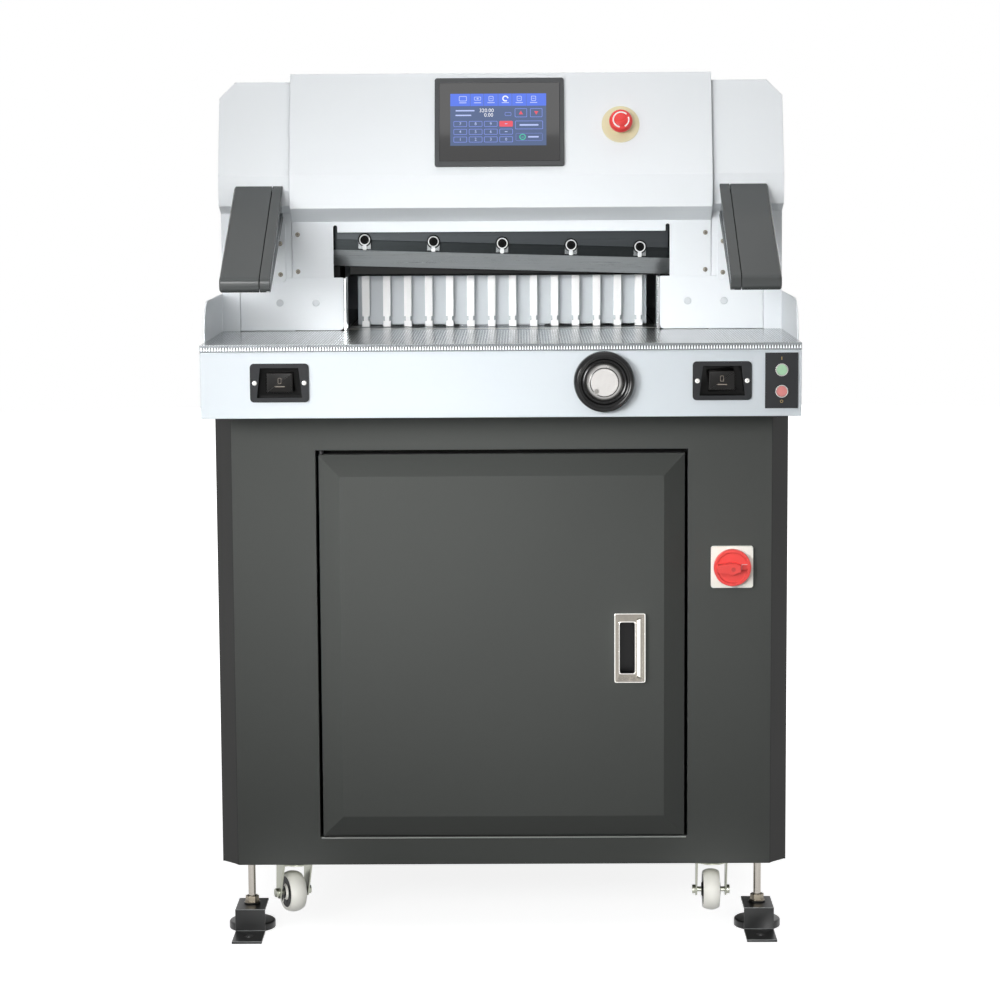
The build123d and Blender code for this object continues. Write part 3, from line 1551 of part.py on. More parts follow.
# Backgauge comb: a plate with fourteen waisted fingers
comb_front_y = mouth_y + comb_setback
comb_low = table_height + table_clearance
finger_back_y = comb_front_y + finger_depth
with BuildPart() as backgauge_comb:
    block(
        (-comb_half, comb_half),
        (finger_back_y, finger_back_y + comb_plate),
        (comb_low + comb_foot_gap, comb_low + comb_height),
    )
    with BuildSketch(facing_operator(0, finger_back_y + comb_plate, comb_low)):
        with GridLocations(finger_pitch, 0, finger_count, 1):
            with Locations((0, finger_waist_low / 2)):
                Rectangle(finger_width, finger_waist_low)
            with Locations((0, (finger_waist_low + finger_waist_high) / 2)):
                Rectangle(finger_waist_width, finger_waist_high - finger_waist_low)
            with Locations((0, (finger_waist_high + comb_height) / 2)):
                Rectangle(finger_width, comb_height - finger_waist_high)
    extrude(amount=finger_depth + comb_plate)
save(backgauge_comb.part, "backgauge_comb")

# Backgauge carriage: a ribbed bracket on the table, with its nut and guide block underneath
carriage_front_y = finger_back_y + comb_plate
drive_z = table_underside - drive_drop
with BuildPart() as backgauge_carriage:
    with BuildSketch(Plane.YZ):
        with BuildLine():
            Polyline(
                (carriage_front_y, comb_low),
                (carriage_front_y, comb_low + carriage_height),
                (carriage_front_y + carriage_rib, comb_low + carriage_height),
                (carriage_front_y + carriage_depth, comb_low + carriage_rib),
                (carriage_front_y + carriage_depth, comb_low),
                close=True,
            )
        make_face()
    extrude(amount=carriage_half, both=True)
    for side in (-1, 1):
        block(
            sorted((side * carriage_rib / 2, side * (carriage_half - carriage_rib))),
            (carriage_front_y + carriage_rib, carriage_front_y + carriage_depth + cut_overrun),
            (comb_low + carriage_rib, comb_low + carriage_height + cut_overrun),
            mode=Mode.SUBTRACT,
        )
    neck_y = (slot_front_y + running_gap, carriage_front_y + carriage_depth)
    block((-neck_half, neck_half), neck_y, (drive_z, comb_low))
    block(
        (-drive_block_half, drive_block_half),
        neck_y,
        (drive_z - drive_block_height / 2, drive_z + drive_block_height / 2),
    )
    with BuildSketch(facing_operator(0, neck_y[0], drive_z)):
        Circle(screw_shaft_radius + leadscrew_play)
        with Locations((-rail_x, 0), (rail_x, 0)):
            Circle(rail_radius + rail_play)
    extrude(amount=-(neck_y[1] - neck_y[0]), mode=Mode.SUBTRACT)
save(backgauge_carriage.part, "backgauge_carriage")

# Backgauge drive: rails between two end plates, with the motor in front
rail_front_y = mouth_y + rail_start
rail_back_y = table_back_y - rail_end_margin
motor_face_y = rail_front_y - coupling_length - 2 * motor_flange_gap
with BuildPart() as end_plates:
    for side in (-1, 1):
        block(
            sorted((side * motor_size / 2, side * (motor_size / 2 - motor_cheek))),
            (motor_face_y, rail_front_y),
            (table_underside - end_plate_height, table_underside - coupling_radius / 2),
        )
    for y in (rail_front_y, rail_back_y - end_plate_thickness):
        block(
            (-end_plate_half, end_plate_half),
            (y, y + end_plate_thickness),
            (table_underside - end_plate_height, table_underside),
        )
    with BuildSketch(facing_operator(0, rail_front_y, drive_z)):
        Circle(screw_shaft_radius + leadscrew_play)
    extrude(amount=-(rail_back_y - rail_front_y), mode=Mode.SUBTRACT)
    with BuildSketch(facing_operator(0, rail_front_y, drive_z)):
        with Locations((-rail_x, 0), (rail_x, 0)):
            Circle(rail_radius)
    extrude(amount=-(rail_back_y - rail_front_y))
with BuildPart() as backgauge_motor:
    with BuildSketch(facing_operator(0, motor_face_y, drive_z)):
        RectangleRounded(motor_size, motor_size, cover_corner)
    extrude(amount=motor_length)
backgauge_drive = Compound(label="backgauge_drive", children=[end_plates.part, backgauge_motor.part])
export_step(backgauge_drive, "parts/backgauge_drive.step")

with BuildPart() as backgauge_screw:
    with BuildSketch(facing_operator(0, rail_front_y - motor_flange_gap, drive_z)):
        Circle(coupling_radius)
    extrude(amount=coupling_length)
    with BuildSketch(facing_operator(0, rail_front_y - motor_flange_gap, drive_z)):
        Circle(screw_shaft_radius)
    extrude(amount=-(rail_back_y - rail_front_y))
save(backgauge_screw.part, "backgauge_screw")

# Hydraulic unit on the cabinet's base: tank, pump motor on it, and two cylinders beside it
tank_top = base_top + tank_height
with BuildPart() as hydraulic_tank:
    with BuildSketch(Plane.XY.offset(base_top)):
        with Locations((tank_x, tank_y)):
            RectangleRounded(tank_width, tank_depth, tank_rounding)
    extrude(amount=tank_height)

motor_axis_z = tank_top + pump_foot_height + pump_motor_radius
motor_start_x = tank_x - pump_motor_length / 2
with BuildPart() as pump_motor:
    with BuildSketch(Plane.YZ.offset(motor_start_x)):
        with Locations((tank_y, motor_axis_z)):
            Circle(pump_motor_radius - pump_fin_height)
            with PolarLocations(pump_motor_radius - pump_fin_height, pump_fin_count):
                Rectangle(2 * pump_fin_height, pump_fin_width)
    extrude(amount=pump_motor_length)
    block(
        (tank_x - pump_motor_length / 4, tank_x + pump_motor_length / 4),
        (tank_y - pump_motor_radius / 2, tank_y + pump_motor_radius / 2),
        (tank_top, motor_axis_z - pump_motor_radius / 2),
    )
hydraulic_unit = Compound(label="hydraulic_unit", children=[hydraulic_tank.part, pump_motor.part])
export_step(hydraulic_unit, "parts/hydraulic_unit.step")

cylinder_top = cabinet_top
cylinders = []
for x in (-cylinder_x, cylinder_x):
    with BuildPart() as cylinder:
        with BuildSketch(Plane.XY.offset(cylinder_top - cylinder_length)):
            with Locations((x, cylinder_y)):
                Circle(cylinder_radius)
        extrude(amount=cylinder_length)
        for level in (cylinder_top - cylinder_length, cylinder_top - cylinder_cap):
            with BuildSketch(Plane.XY.offset(level)):
                with Locations((x, cylinder_y)):
                    Rectangle(2 * cylinder_radius + cylinder_cap / 2, 2 * cylinder_radius + cylinder_cap / 2)
            extrude(amount=cylinder_cap)
    cylinders.append(cylinder.part)
export_step(Compound(label="hydraulic_cylinders", children=cylinders), "parts/hydraulic_cylinders.step")

with BuildPart() as control_box:
    block(
        (cabinet_half - sheet - box_width, cabinet_half - sheet),
        (box_y - box_depth / 2, box_y + box_depth / 2),
        (base_top + box_rise, base_top + box_rise + box_height),
    )
    fillet(control_box.edges().filter_by(Axis.Z).sort_by(Axis.X)[0:2], radius=cover_corner)
save(control_box.part, "control_box")
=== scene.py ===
import json
from math import cos, pi, radians, sin

import bmesh
import bpy
from mathutils import Matrix, Vector

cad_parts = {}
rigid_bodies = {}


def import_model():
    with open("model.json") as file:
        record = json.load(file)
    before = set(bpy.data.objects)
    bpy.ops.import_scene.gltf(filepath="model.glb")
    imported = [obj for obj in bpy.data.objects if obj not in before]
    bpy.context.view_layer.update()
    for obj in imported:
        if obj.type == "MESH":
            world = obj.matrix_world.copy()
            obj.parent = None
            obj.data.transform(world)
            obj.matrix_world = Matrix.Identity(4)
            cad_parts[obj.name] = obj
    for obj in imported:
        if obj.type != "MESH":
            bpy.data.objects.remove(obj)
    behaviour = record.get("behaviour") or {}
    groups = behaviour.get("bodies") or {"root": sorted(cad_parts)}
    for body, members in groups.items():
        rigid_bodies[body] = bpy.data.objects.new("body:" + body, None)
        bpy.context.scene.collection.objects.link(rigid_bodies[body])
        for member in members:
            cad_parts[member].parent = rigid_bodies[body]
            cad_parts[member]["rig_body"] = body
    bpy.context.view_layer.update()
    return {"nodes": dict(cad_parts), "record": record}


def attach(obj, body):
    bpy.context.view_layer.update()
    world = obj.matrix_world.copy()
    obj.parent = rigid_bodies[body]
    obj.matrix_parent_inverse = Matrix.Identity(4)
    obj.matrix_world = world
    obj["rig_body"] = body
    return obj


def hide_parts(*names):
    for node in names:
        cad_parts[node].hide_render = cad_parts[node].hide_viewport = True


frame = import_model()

nodes = frame["nodes"]
slot_of = {part["node"]: part["material_slot"] for part in frame["record"]["subparts"]}

# Camera. It stands 4.2 m in front of the table, a little above it, and looks down by seven degrees
# through a long lens, as the photograph was taken.
scene = bpy.context.scene
camera_place = (0.0316, -4.6436, 1.2200)
pitch, yaw, roll = radians(7.053), radians(-0.459), radians(-0.34)
ahead = Vector((sin(yaw) * cos(pitch), cos(yaw) * cos(pitch), -sin(pitch)))
level = Vector((cos(yaw), -sin(yaw), 0))
upright = level.cross(ahead)
right = level * cos(roll) + upright * sin(roll)
above = upright * cos(roll) - level * sin(roll)
lens = bpy.data.cameras.new("camera")
lens.sensor_width = 36
lens.lens = 101.556
lens.clip_end = 60
camera = bpy.data.objects.new("camera", lens)
scene.collection.objects.link(camera)
camera_turn = Matrix((right, above, -ahead)).transposed().to_4x4()
camera.matrix_world = Matrix.Translation(camera_place) @ camera_turn
scene.camera = camera
scene.view_settings.view_transform = "Standard"


# Studio. A pale floor, soft lamps in front, at the right and overhead, two small ones low before the
# casters, and a white surround that metal and glass see too, which lights more from above.
class Signal:
    """An output socket that can be used in sums, which add Math nodes."""

    def __init__(self, shader, socket):
        self.shader, self.socket = shader, socket

    def sum(self, operation, first, second):
        return self.shader.node("ShaderNodeMath", {"operation": operation}, {0: first, 1: second})

    def __add__(self, other):
        return self.sum("ADD", self, other)

    def __radd__(self, other):
        return self.sum("ADD", other, self)

    def __sub__(self, other):
        return self.sum("SUBTRACT", self, other)

    def __rsub__(self, other):
        return self.sum("SUBTRACT", other, self)

    def __mul__(self, other):
        return self.sum("MULTIPLY", self, other)

    def __rmul__(self, other):
        return self.sum("MULTIPLY", other, self)

    def clipped(self):
        """Hold the value between 0 and 1."""
        return self.sum("MAXIMUM", self.sum("MINIMUM", self, 1.0), 0.0)


class Shader:
    """The node tree of a material or of the world."""

    def __init__(self, owner):
        owner.use_nodes = True
        self.tree = owner.node_tree
        self.tree.nodes.clear()

    def node(self, kind, settings=None, sockets=None, output=0):
        """Add a node, give it its settings and then its sockets, and return one of its outputs."""
        made = self.tree.nodes.new(kind)
        for name, value in (settings or {}).items():
            setattr(made, name, value)
        for key, value in (sockets or {}).items():
            if isinstance(value, Signal):
                self.tree.links.new(value.socket, made.inputs[key])
            else:
                made.inputs[key].default_value = value
        return Signal(self, made.outputs[output])

    def blend(self, share, first, second):
        """Mix two colours, which the Mix node takes at inputs 6 and 7 and gives at output 2."""
        sockets = {0: share, 6: first, 7: second}
        return self.node("ShaderNodeMix", {"data_type": "RGBA"}, sockets, output=2)

    def noise(self, place, scale, detail=2.0, roughness=0.5):
        """Return a smooth uneven pattern."""
        sockets = {"Vector": place, "Scale": scale, "Detail": detail, "Roughness": roughness}
        return self.node("ShaderNodeTexNoise", None, sockets)

    def here(self):
        """Return the object's own coordinates."""
        return self.node("ShaderNodeTexCoord", output="Object")

    def stretched(self, factors):
        """Return the object's coordinates multiplied along each axis."""
        sockets = {0: self.here(), 1: factors}
        return self.node("ShaderNodeVectorMath", {"operation": "MULTIPLY"}, sockets)

    def show(self, surface, kind="ShaderNodeOutputMaterial"):
        end = self.tree.nodes.new(kind)
        self.tree.links.new(surface.socket, end.inputs["Surface"])


def tint(code, strength=1.0):
    """Turn a written sRGB colour, such as f0f5f9, into the linear values that a socket takes."""
    parts = [int(code[i:i + 2], 16) / 255 for i in (0, 2, 4)]
    linear = [c / 12.92 if c <= 0.04045 else ((c + 0.055) / 1.055) ** 2.4 for c in parts]
    return tuple(c * strength for c in linear) + (1.0,)


def seen_rays(shader):
    """Return 1 for the rays that see the background: straight, mirrored or through glass."""
    rays = [
        shader.node("ShaderNodeLightPath", output=f"Is {kind} Ray")
        for kind in ("Camera", "Glossy", "Transmission")
    ]
    return (rays[0] + rays[1] + rays[2]).clipped()


world = bpy.data.worlds.new("studio")
scene.world = world
surround = Shader(world)
direction = surround.node("ShaderNodeTexCoord", output="Generated")
elevation = surround.node("ShaderNodeSeparateXYZ", None, {0: direction}, output="Z")
horizon_edge, side_light, overhead_light = 8.0, 0.12, 0.48
ambient = (horizon_edge * elevation).clipped() * (side_light + overhead_light * elevation)
surround.show(
    surround.node(
        "ShaderNodeBackground", None,
        {"Color": (1, 1, 1, 1), "Strength": ambient + seen_rays(surround) * (1 - ambient)},
    ),
    "ShaderNodeOutputWorld",
)

floor_radius, floor_drop = 9.0, 0.0005
floor_mesh = bpy.data.meshes.new("floor")
disc = bmesh.new()
bmesh.ops.create_circle(disc, cap_ends=True, radius=floor_radius, segments=96)
bmesh.ops.translate(disc, verts=disc.verts, vec=(0, 0, -floor_drop))
disc.to_mesh(floor_mesh)
disc.free()
floor = bpy.data.objects.new("floor", floor_mesh)
scene.collection.objects.link(floor)
floor_finish = bpy.data.materials.new("floor")
ground = Shader(floor_finish)
dim = ground.node("ShaderNodeBsdfDiffuse", None, {"Color": (0.14, 0.14, 0.14, 1)})
pale = ground.node("ShaderNodeBsdfDiffuse", None, {"Color": (0.6, 0.6, 0.6, 1)})
away = ground.node("ShaderNodeVectorMath", {"operation": "LENGTH"}, {0: ground.here()}, output="Value")
near_radius, near_glow, glow_rise = 0.8, 0.86, 0.4
glow_strength = near_glow + glow_rise * (away - near_radius).clipped()
glow = ground.node("ShaderNodeEmission", None, {"Color": (1, 1, 1, 1), "Strength": glow_strength})
lit = ground.node("ShaderNodeAddShader", None, {0: pale, 1: glow})
ground.show(ground.node("ShaderNodeMixShader", None, {0: seen_rays(ground), 1: dim, 2: lit}))
floor_mesh.materials.append(floor_finish)

for name, place, aim, size, power, spread in (
    ("cabinet lamp", (-1.1, -1.9, 1.05), (-0.05, -0.35, 0.70), 0.8, 2.3, 36),
    ("head lamp", (-0.8, -3.4, 1.6), (0.1, 0, 1.35), 1.1, 5.2, 60),
    ("fill", (1.5, -3.2, 1.0), (0, 0, 0.9), 1.4, 6.5, 180),
    ("top", (0, -1.3, 3.2), (0, -0.2, 1.0), 2.0, 9, 180),
    ("left caster lamp", (-0.36, -1.2, 0.05), (-0.33, -0.28, 0.055), 0.1, 0.028, 16),
    ("right caster lamp", (0.36, -1.2, 0.05), (0.33, -0.28, 0.055), 0.1, 0.028, 16),
):
    lamp = bpy.data.lights.new(name, "AREA")
    lamp.size, lamp.energy, lamp.spread = size, power, radians(spread)
    stand = bpy.data.objects.new(name, lamp)
    stand.location = place
    stand.rotation_euler = (Vector(aim) - Vector(place)).to_track_quat("-Z", "Y").to_euler()
    scene.collection.objects.link(stand)
bpy.context.view_layer.update()


# Cabinet. Folded steel sheets with a satin charcoal powder coat, and side sheets with bevelled corners
# in a near-black copy of that coat, painted shade, on a base plate. A light strip along the edge of the
# sill under the door is a painted highlight.
def paint(name, code, roughness=0.45, skin=0.00002, skin_pitch=0.0016, mottle=0.03, coat=0.0, gloss=0.5):
    """Powder coat or moulded plastic: a faintly mottled colour under the fine skin that it sets with."""
    cloud_scale, roughness_range = 5.0, 0.1
    material = bpy.data.materials.new(name)
    shader = Shader(material)
    here = shader.here()
    cloud = shader.noise(here, cloud_scale)
    relief = shader.noise(here, 1 / skin_pitch, detail=1.0)
    shader.show(shader.node("ShaderNodeBsdfPrincipled", None, {
        "Base Color": shader.blend(cloud, tint(code, 1 - mottle), tint(code, 1 + mottle)),
        "Roughness": roughness + roughness_range * (cloud - 0.5),
        "Coat Weight": coat,
        "Specular IOR Level": gloss,
        "Normal": shader.node("ShaderNodeBump", None, {"Height": relief, "Distance": skin}),
    }))
    return material


def brushed(name, code, roughness, grain, streak=0.12):
    """Metal with fine parallel lines: grain gives how quickly they change along X, Y and Z."""
    line_depth, broad_share, roughness_range = 0.000006, 0.2, 0.25
    material = bpy.data.materials.new(name)
    shader = Shader(material)
    lines = shader.noise(shader.stretched(grain), 1.0, detail=3.0, roughness=0.6)
    broad = shader.noise(shader.stretched(tuple(g * broad_share for g in grain)), 1.0)
    mark = 0.5 * lines + 0.5 * broad
    shader.show(shader.node("ShaderNodeBsdfPrincipled", None, {
        "Base Color": shader.blend(mark, tint(code, 1 - streak), tint(code, 1 + streak)),
        "Metallic": 1.0,
        "Roughness": roughness + roughness_range * (mark - 0.5),
        "Normal": shader.node("ShaderNodeBump", None, {"Height": lines, "Distance": line_depth}),
    }))
    return material


def set_piece(name, mesh, finishes, body, slot, *replaced):
    """Put a finished mesh in the scene on its body, in place of the nodes that it stands for."""
    piece = bpy.data.objects.new(name, mesh)
    scene.collection.objects.link(piece)
    for finish in finishes if isinstance(finishes, (tuple, list)) else [finishes]:
        mesh.materials.append(finish)
    mesh.shade_smooth()
    mesh.set_sharp_from_angle(angle=radians(32))
    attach(piece, body)
    if replaced:
        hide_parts(*replaced)
    return piece


def copied(node):
    """Return a node's form with its doubles merged and its flat faces whole."""
    form = bmesh.new()
    form.from_mesh(nodes[node].data)
    bmesh.ops.remove_doubles(form, verts=form.verts, dist=1e-5)
    bmesh.ops.dissolve_limit(form, angle_limit=radians(0.4), verts=form.verts, edges=form.edges)
    return form


def as_mesh(name, form):
    """Turn a form into a mesh, and free it."""
    mesh = bpy.data.meshes.new(name)
    form.to_mesh(mesh)
    form.free()
    return mesh


def eased(node, finishes, radius=0.0006, segments=2, angle=30, choose=None):
    """Round the edges of a node's form. choose names a face's finish from its middle, its normal and
    the box of the island that it is in."""
    form = copied(node)
    if choose:
        left = set(form.faces)
        while left:
            island, edge = set(), [left.pop()]
            while edge:
                face = edge.pop()
                island.add(face)
                near = {g for e in face.edges for g in e.link_faces} & left
                left -= near
                edge += near
            spots = [v.co for f in island for v in f.verts]
            low = Vector([min(p[i] for p in spots) for i in range(3)])
            high = Vector([max(p[i] for p in spots) for i in range(3)])
            for face in island:
                face.material_index = choose(face.calc_center_median(), face.normal, low, high)
    name = f"{node}_finished"
    body = nodes[node]["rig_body"]
    piece = set_piece(name, as_mesh(name, form), finishes, body, slot_of[node], node)
    if radius:
        bevel = piece.modifiers.new("rounded edges", "BEVEL")
        bevel.width, bevel.segments = radius, segments
        bevel.limit_method, bevel.angle_limit = "ANGLE", radians(angle)
        bevel.use_clamp_overlap = False
        bevel.harden_normals = True
    return piece


def lathe(profile, turns=48, finishes=None, closed=False):
    """Turn a profile of radius and height about Z. finishes gives each band's."""
    form = bmesh.new()
    rings = []
    for radius, height in profile + profile[:1] * closed:
        around = turns if radius > 1e-6 else 1
        angles = [2 * pi * i / around for i in range(around)]
        rings.append([form.verts.new((radius * cos(a), radius * sin(a), height)) for a in angles])
    for band, (first, second) in enumerate(zip(rings, rings[1:])):
        for i in range(turns):
            j = (i + 1) % turns
            corners = [first[i % len(first)], first[j % len(first)]]
            corners += [second[j % len(second)], second[i % len(second)]]
            face = form.faces.new(list(dict.fromkeys(corners)))
            face.material_index = finishes[band] if finishes else 0
    bmesh.ops.remove_doubles(form, verts=form.verts, dist=1e-7)
    bmesh.ops.recalc_face_normals(form, faces=form.faces)
    return form


def banded(form, first, second, finish=0):
    """Join two rings that have as many points by a band of faces."""
    for i in range(len(first)):
        j = (i + 1) % len(first)
        form.faces.new((first[i], first[j], second[j], second[i])).material_index = finish


def prism(outline, low, high, inner=None):
    """Raise an outline between two heights. An inner outline with as many points leaves a hole."""
    form = bmesh.new()
    loops = [
        [[form.verts.new((u, v, w)) for u, v in points] for w in (low, high)]
        for points in (outline, inner) if points
    ]
    for below, up in loops:
        banded(form, below, up)
    if inner:
        for outer_ring, inner_ring in zip(*loops):
            banded(form, outer_ring, inner_ring)
    else:
        form.faces.new(loops[0][0])
        form.faces.new(loops[0][1])
    bmesh.ops.recalc_face_normals(form, faces=form.faces)
    return form


def rounded(width, height, corner, steps=4, u=0.0, v=0.0):
    """The outline of a plate with rounded corners, about u, v."""
    points = []
    for quarter, (side, end) in enumerate(((1, 1), (-1, 1), (-1, -1), (1, -1))):
        for i in range(steps + 1):
            turn = (quarter + i / steps) * pi / 2
            points.append((
                u + side * (width / 2 - corner) + corner * cos(turn),
                v + end * (height / 2 - corner) + corner * sin(turn),
            ))
    return points


def merged(name, *parts):
    """Join forms, each moved by its matrix, into one mesh."""
    whole = bmesh.new()
    for form, matrix in parts:
        form.transform(matrix)
        part = as_mesh(name, form)
        whole.from_mesh(part)
        bpy.data.meshes.remove(part)
    return as_mesh(name, whole)


def fitted(name, parts, finishes, body, slot, *replaced):
    """Join forms, each moved by its matrix, and set them as one piece."""
    return set_piece(name, merged(name, *parts), finishes, body, slot, *replaced)


def front(x, y, z):
    """The place on an upright front: its u runs right, its v up and its w out towards the operator."""
    return Matrix(((1, 0, 0, x), (0, 0, -1, y), (0, 1, 0, z), (0, 0, 0, 1)))


charcoal = paint("charcoal powder coat", "4b4d4b", 0.5, 0.00001, gloss=0.12, mottle=0.04)
# The side sheets take a near-black copy of the charcoal coat: painted shade on their bevelled faces.
side_sheets_painted_shade = paint("near-black painted shade coat", "1c1c1b", 0.5, 0.00001, gloss=0.3)
for node in ("cabinet_front", "cabinet_top_plate", "cabinet_rear_panel", "cabinet_base"):
    eased(node, charcoal, 0.0005)
eased("cabinet_sides", side_sheets_painted_shade)
# A light strip along the sill's edge under the door: a painted highlight.
sill_painted_highlight = paint("sill painted highlight", "a7aaa6", 0.4, 0.00001)
sill_half, sill_y, sill_z = 0.2835, -0.35, 0.1601
sill = [
    (0.0005, 0.0), (0.0005, 0.0004), (-0.0002, 0.0011), (-0.0009, 0.0011), (-0.0016, 0.0004),
    (-0.0016, 0.0),
]
sill_place = Matrix(((0, 0, 1, 0), (0, -1, 0, sill_y), (1, 0, 0, sill_z), (0, 0, 0, 1)))
fitted(
    "door_sill_edge", [(prism(sill, -sill_half, sill_half), sill_place)], sill_painted_highlight, "root",
    slot_of["cabinet_front"],
)


# Levelling feet. A round pad on a stainless threaded stem stands on the floor. A folded black steel
# bracket, with a hole for a floor bolt, goes round the stem, under a plated washer and nut. Light grey
# strips along each bend of the bracket are painted highlights.
foot_black = paint("black feet", "1c1d1d", 0.3, 0.00001, gloss=0.4)
# Light grey for the painted highlights along each bend of the bracket.
fold_painted_highlight = paint("bracket fold painted highlight", "8f9292", 0.4, 0.00001)
even_grain = (900.0, 900.0, 900.0)
stainless = brushed("stainless stem", "aba69f", 0.2, (900.0, 900.0, 2600.0))
nut_brown = brushed("plated nut", "8d8577", 0.35, even_grain)


def foot_finish(middle, normal, low, high):
    stem_reach, pad_top, bracket_top = 0.1, 0.0125, 0.0405
    if high.z > stem_reach:
        return 0 if middle.z < pad_top else 1
    return 2 if middle.z > bracket_top else 0


def oblong(left, right, low, high):
    """The outline of a rectangle."""
    return [(left, low), (right, low), (right, high), (left, high)]


corners = ("front_left", "front_right", "rear_left", "rear_right")
foot_x, fold_half = 0.4, 0.0232
fold_highlights = (  # how near to the middle of the machine and how far from it, lowest and highest
    (0.3221, 0.3233, 0.0377, 0.0388), (0.3225, 0.3235, 0.0040, 0.0049), (0.3833, 0.3842, 0.0031, 0.0042),
)
for corner in corners:
    foot = f"foot_{corner}"
    eased(foot, (foot_black, stainless, nut_brown), 0.0009, choose=foot_finish)
    x = -foot_x if "left" in corner else foot_x
    facing = -1 if "front" in corner else 1
    lines = []
    for inner, outer, low, high in fold_highlights:
        near, far = sorted((facing * inner, facing * outer))
        outline = oblong(x - fold_half, x + fold_half, near, far)
        lines.append((prism(outline, low, high), Matrix.Identity(4)))
    fitted(f"{foot}_folds", lines, fold_painted_highlight, nodes[foot]["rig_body"], slot_of[foot])


# Casters. Cream nylon wheels with black hubs turn on bright axles in zinc plated forks under the
# cabinet's base. The front pair swivels.
zinc = brushed("zinc plating", "a6a89c", 0.32, even_grain)
nylon = paint("cream nylon", "fdfcf4", 0.38)
hub_black = paint("black hub", "161616", 0.5, gloss=0.2)


def wheel_finish(middle, normal, low, high):
    hub_radius = 0.0135
    centre = (low + high) / 2
    reach = Vector((middle.y - centre.y, middle.z - centre.z)).length
    return 1 if abs(normal.x) > 0.7 and reach < hub_radius else 0


for corner in corners:
    eased(f"caster_wheel_{corner}", (nylon, hub_black), 0, choose=wheel_finish)
eased("caster_mounts", zinc, 0.0004)
for corner in ("front_left", "front_right"):
    eased(f"caster_fork_{corner}", zinc, 0.0004)


# Door. A pressed steel tray with a bevelled raised face, coated like the cabinet, hung on two
# blackened pins at the top and bottom of its left edge. A black strip in the gap above it is painted shade.
eased("cabinet_door", charcoal, 0.0007, 3)
black_metal = paint("blackened steel", "141415", 0.45, 0.00001, gloss=0.3)
eased("door_hinges", black_metal, 0.0003)
# Black for the painted shade in the gap above the door.
gap_painted_shade = paint("door gap painted shade", "0a0a0a", 0.9, 0.0001, 0.0009, gloss=0.1)
gap_strip_half = 0.284
gap_strip = prism(oblong(0.3315, 0.3355, 0.7565, 0.7665), -gap_strip_half, gap_strip_half)
gap_strip_place = Matrix(((0, 0, 1, 0), (-1, 0, 0, 0), (0, 1, 0, 0), (0, 0, 0, 1)))
fitted("door_seal", [(gap_strip, gap_strip_place)], gap_painted_shade, "root", slot_of["cabinet_front"])


# Door handle. A nickel plated pull with a raised ridge along its right side, round a black moulded
# finger cup, clipped into the door as one piece. A darker copy of the nickel on the slopes into the cup
# and on the ridge's outer faces is painted shade.
nickel = brushed("nickel plating", "f0eeea", 0.2, even_grain, streak=0.06)
nickel_painted_shade = brushed("nickel slopes painted shade", "8d8880", 0.24, (900.0, 900.0, 200.0), streak=0.25)
black_plastic = paint("black plastic", "131314", 0.34, 0.00001, gloss=0.25)


def lofted(*loops):
    """Join outlines with as many points each into a closed form: outline, height, finish to the next."""
    form = bmesh.new()
    rings = [[form.verts.new((u, v, w)) for u, v in outline] for outline, w, finish in loops]
    for first, second, (outline, w, finish) in zip(rings, rings[1:], loops):
        banded(form, first, second, finish)
    form.faces.new(rings[0]).material_index = loops[0][2]
    form.faces.new(rings[-1]).material_index = loops[-1][2]
    bmesh.ops.recalc_face_normals(form, faces=form.faces)
    return form


cup_u = -0.004
pull_loops = (  # width, height, corner, middle, height above the door, finish
    (0.0246, 0.0806, 0.0020, cup_u, -0.0175, 2), (0.0246, 0.0806, 0.0020, cup_u, 0.0, 2),
    (0.0480, 0.1080, 0.0030, 0.0, 0.0, 0), (0.0480, 0.1080, 0.0030, 0.0, 0.0072, 0),
    (0.0468, 0.1068, 0.0025, 0.0, 0.0080, 0), (0.0450, 0.1050, 0.0020, 0.0, 0.0078, 1),
    (0.0262, 0.0824, 0.0030, cup_u, 0.0052, 0), (0.0250, 0.0810, 0.0030, cup_u, 0.0064, 0),
    (0.0234, 0.0794, 0.0030, cup_u, 0.0062, 0), (0.0230, 0.0790, 0.0030, cup_u, 0.0054, 2),
    (0.0226, 0.0786, 0.0030, cup_u, -0.0155, 2),
)
pull = lofted(*[
    (rounded(width, height, corner, u=u), w, finish) for width, height, corner, u, w, finish in pull_loops
])
ridge_foot = [(0.0098, -0.0470), (0.0208, -0.0500), (0.0208, 0.0500), (0.0098, 0.0470)]
ridge_crest = [(0.0112, -0.04277), (0.0158, -0.0455), (0.0158, 0.0455), (0.0112, 0.04277)]
ridge = lofted((ridge_foot, 0.0050, 0), (ridge_crest, 0.0088, 0))
# The ridge's outer side and ends take the darker nickel: painted shade.
for face in ridge.faces:
    middle = face.calc_center_median()
    face.material_index = 1 if middle.x > 0.0165 or abs(middle.y) > 0.02 else 0
pull_place = front(0.195, -0.377, 0.4635)
handle = fitted(
    "door_pull", [(pull, pull_place), (ridge, pull_place)], (nickel, nickel_painted_shade, black_plastic),
    "cabinet_door", slot_of["door_handle"], "door_handle",
)
rounding = handle.modifiers.new("rounded edges", "BEVEL")
rounding.width, rounding.segments = 0.0004, 2
rounding.limit_method, rounding.angle_limit = "ANGLE", radians(25)


# Main switch. A rotary isolator: a moulded cream plate screwed to the cabinet, and a light red knob
# with a paler rim, a sunk floor, a tapered grip and a small window.
cream = paint("cream plastic", "fbfbf2", 0.38, 0.00002)
knob_red = paint("light red plastic", "ef4a45", 0.36, 0.00001)
rim_red = paint("paler red rim", "f0605a", 0.36, 0.00001)
window_white = paint("switch window", "f5eef2", 0.3, 0.00001)
eased("main_switch_plate", cream, 0.001)
knob_x, knob_z = 0.353, 0.584


def knob_finish(middle, normal, low, high):
    rim_inside = 0.027
    reach = Vector((middle.x - knob_x, middle.z - knob_z)).length
    return 1 if reach > rim_inside else 0


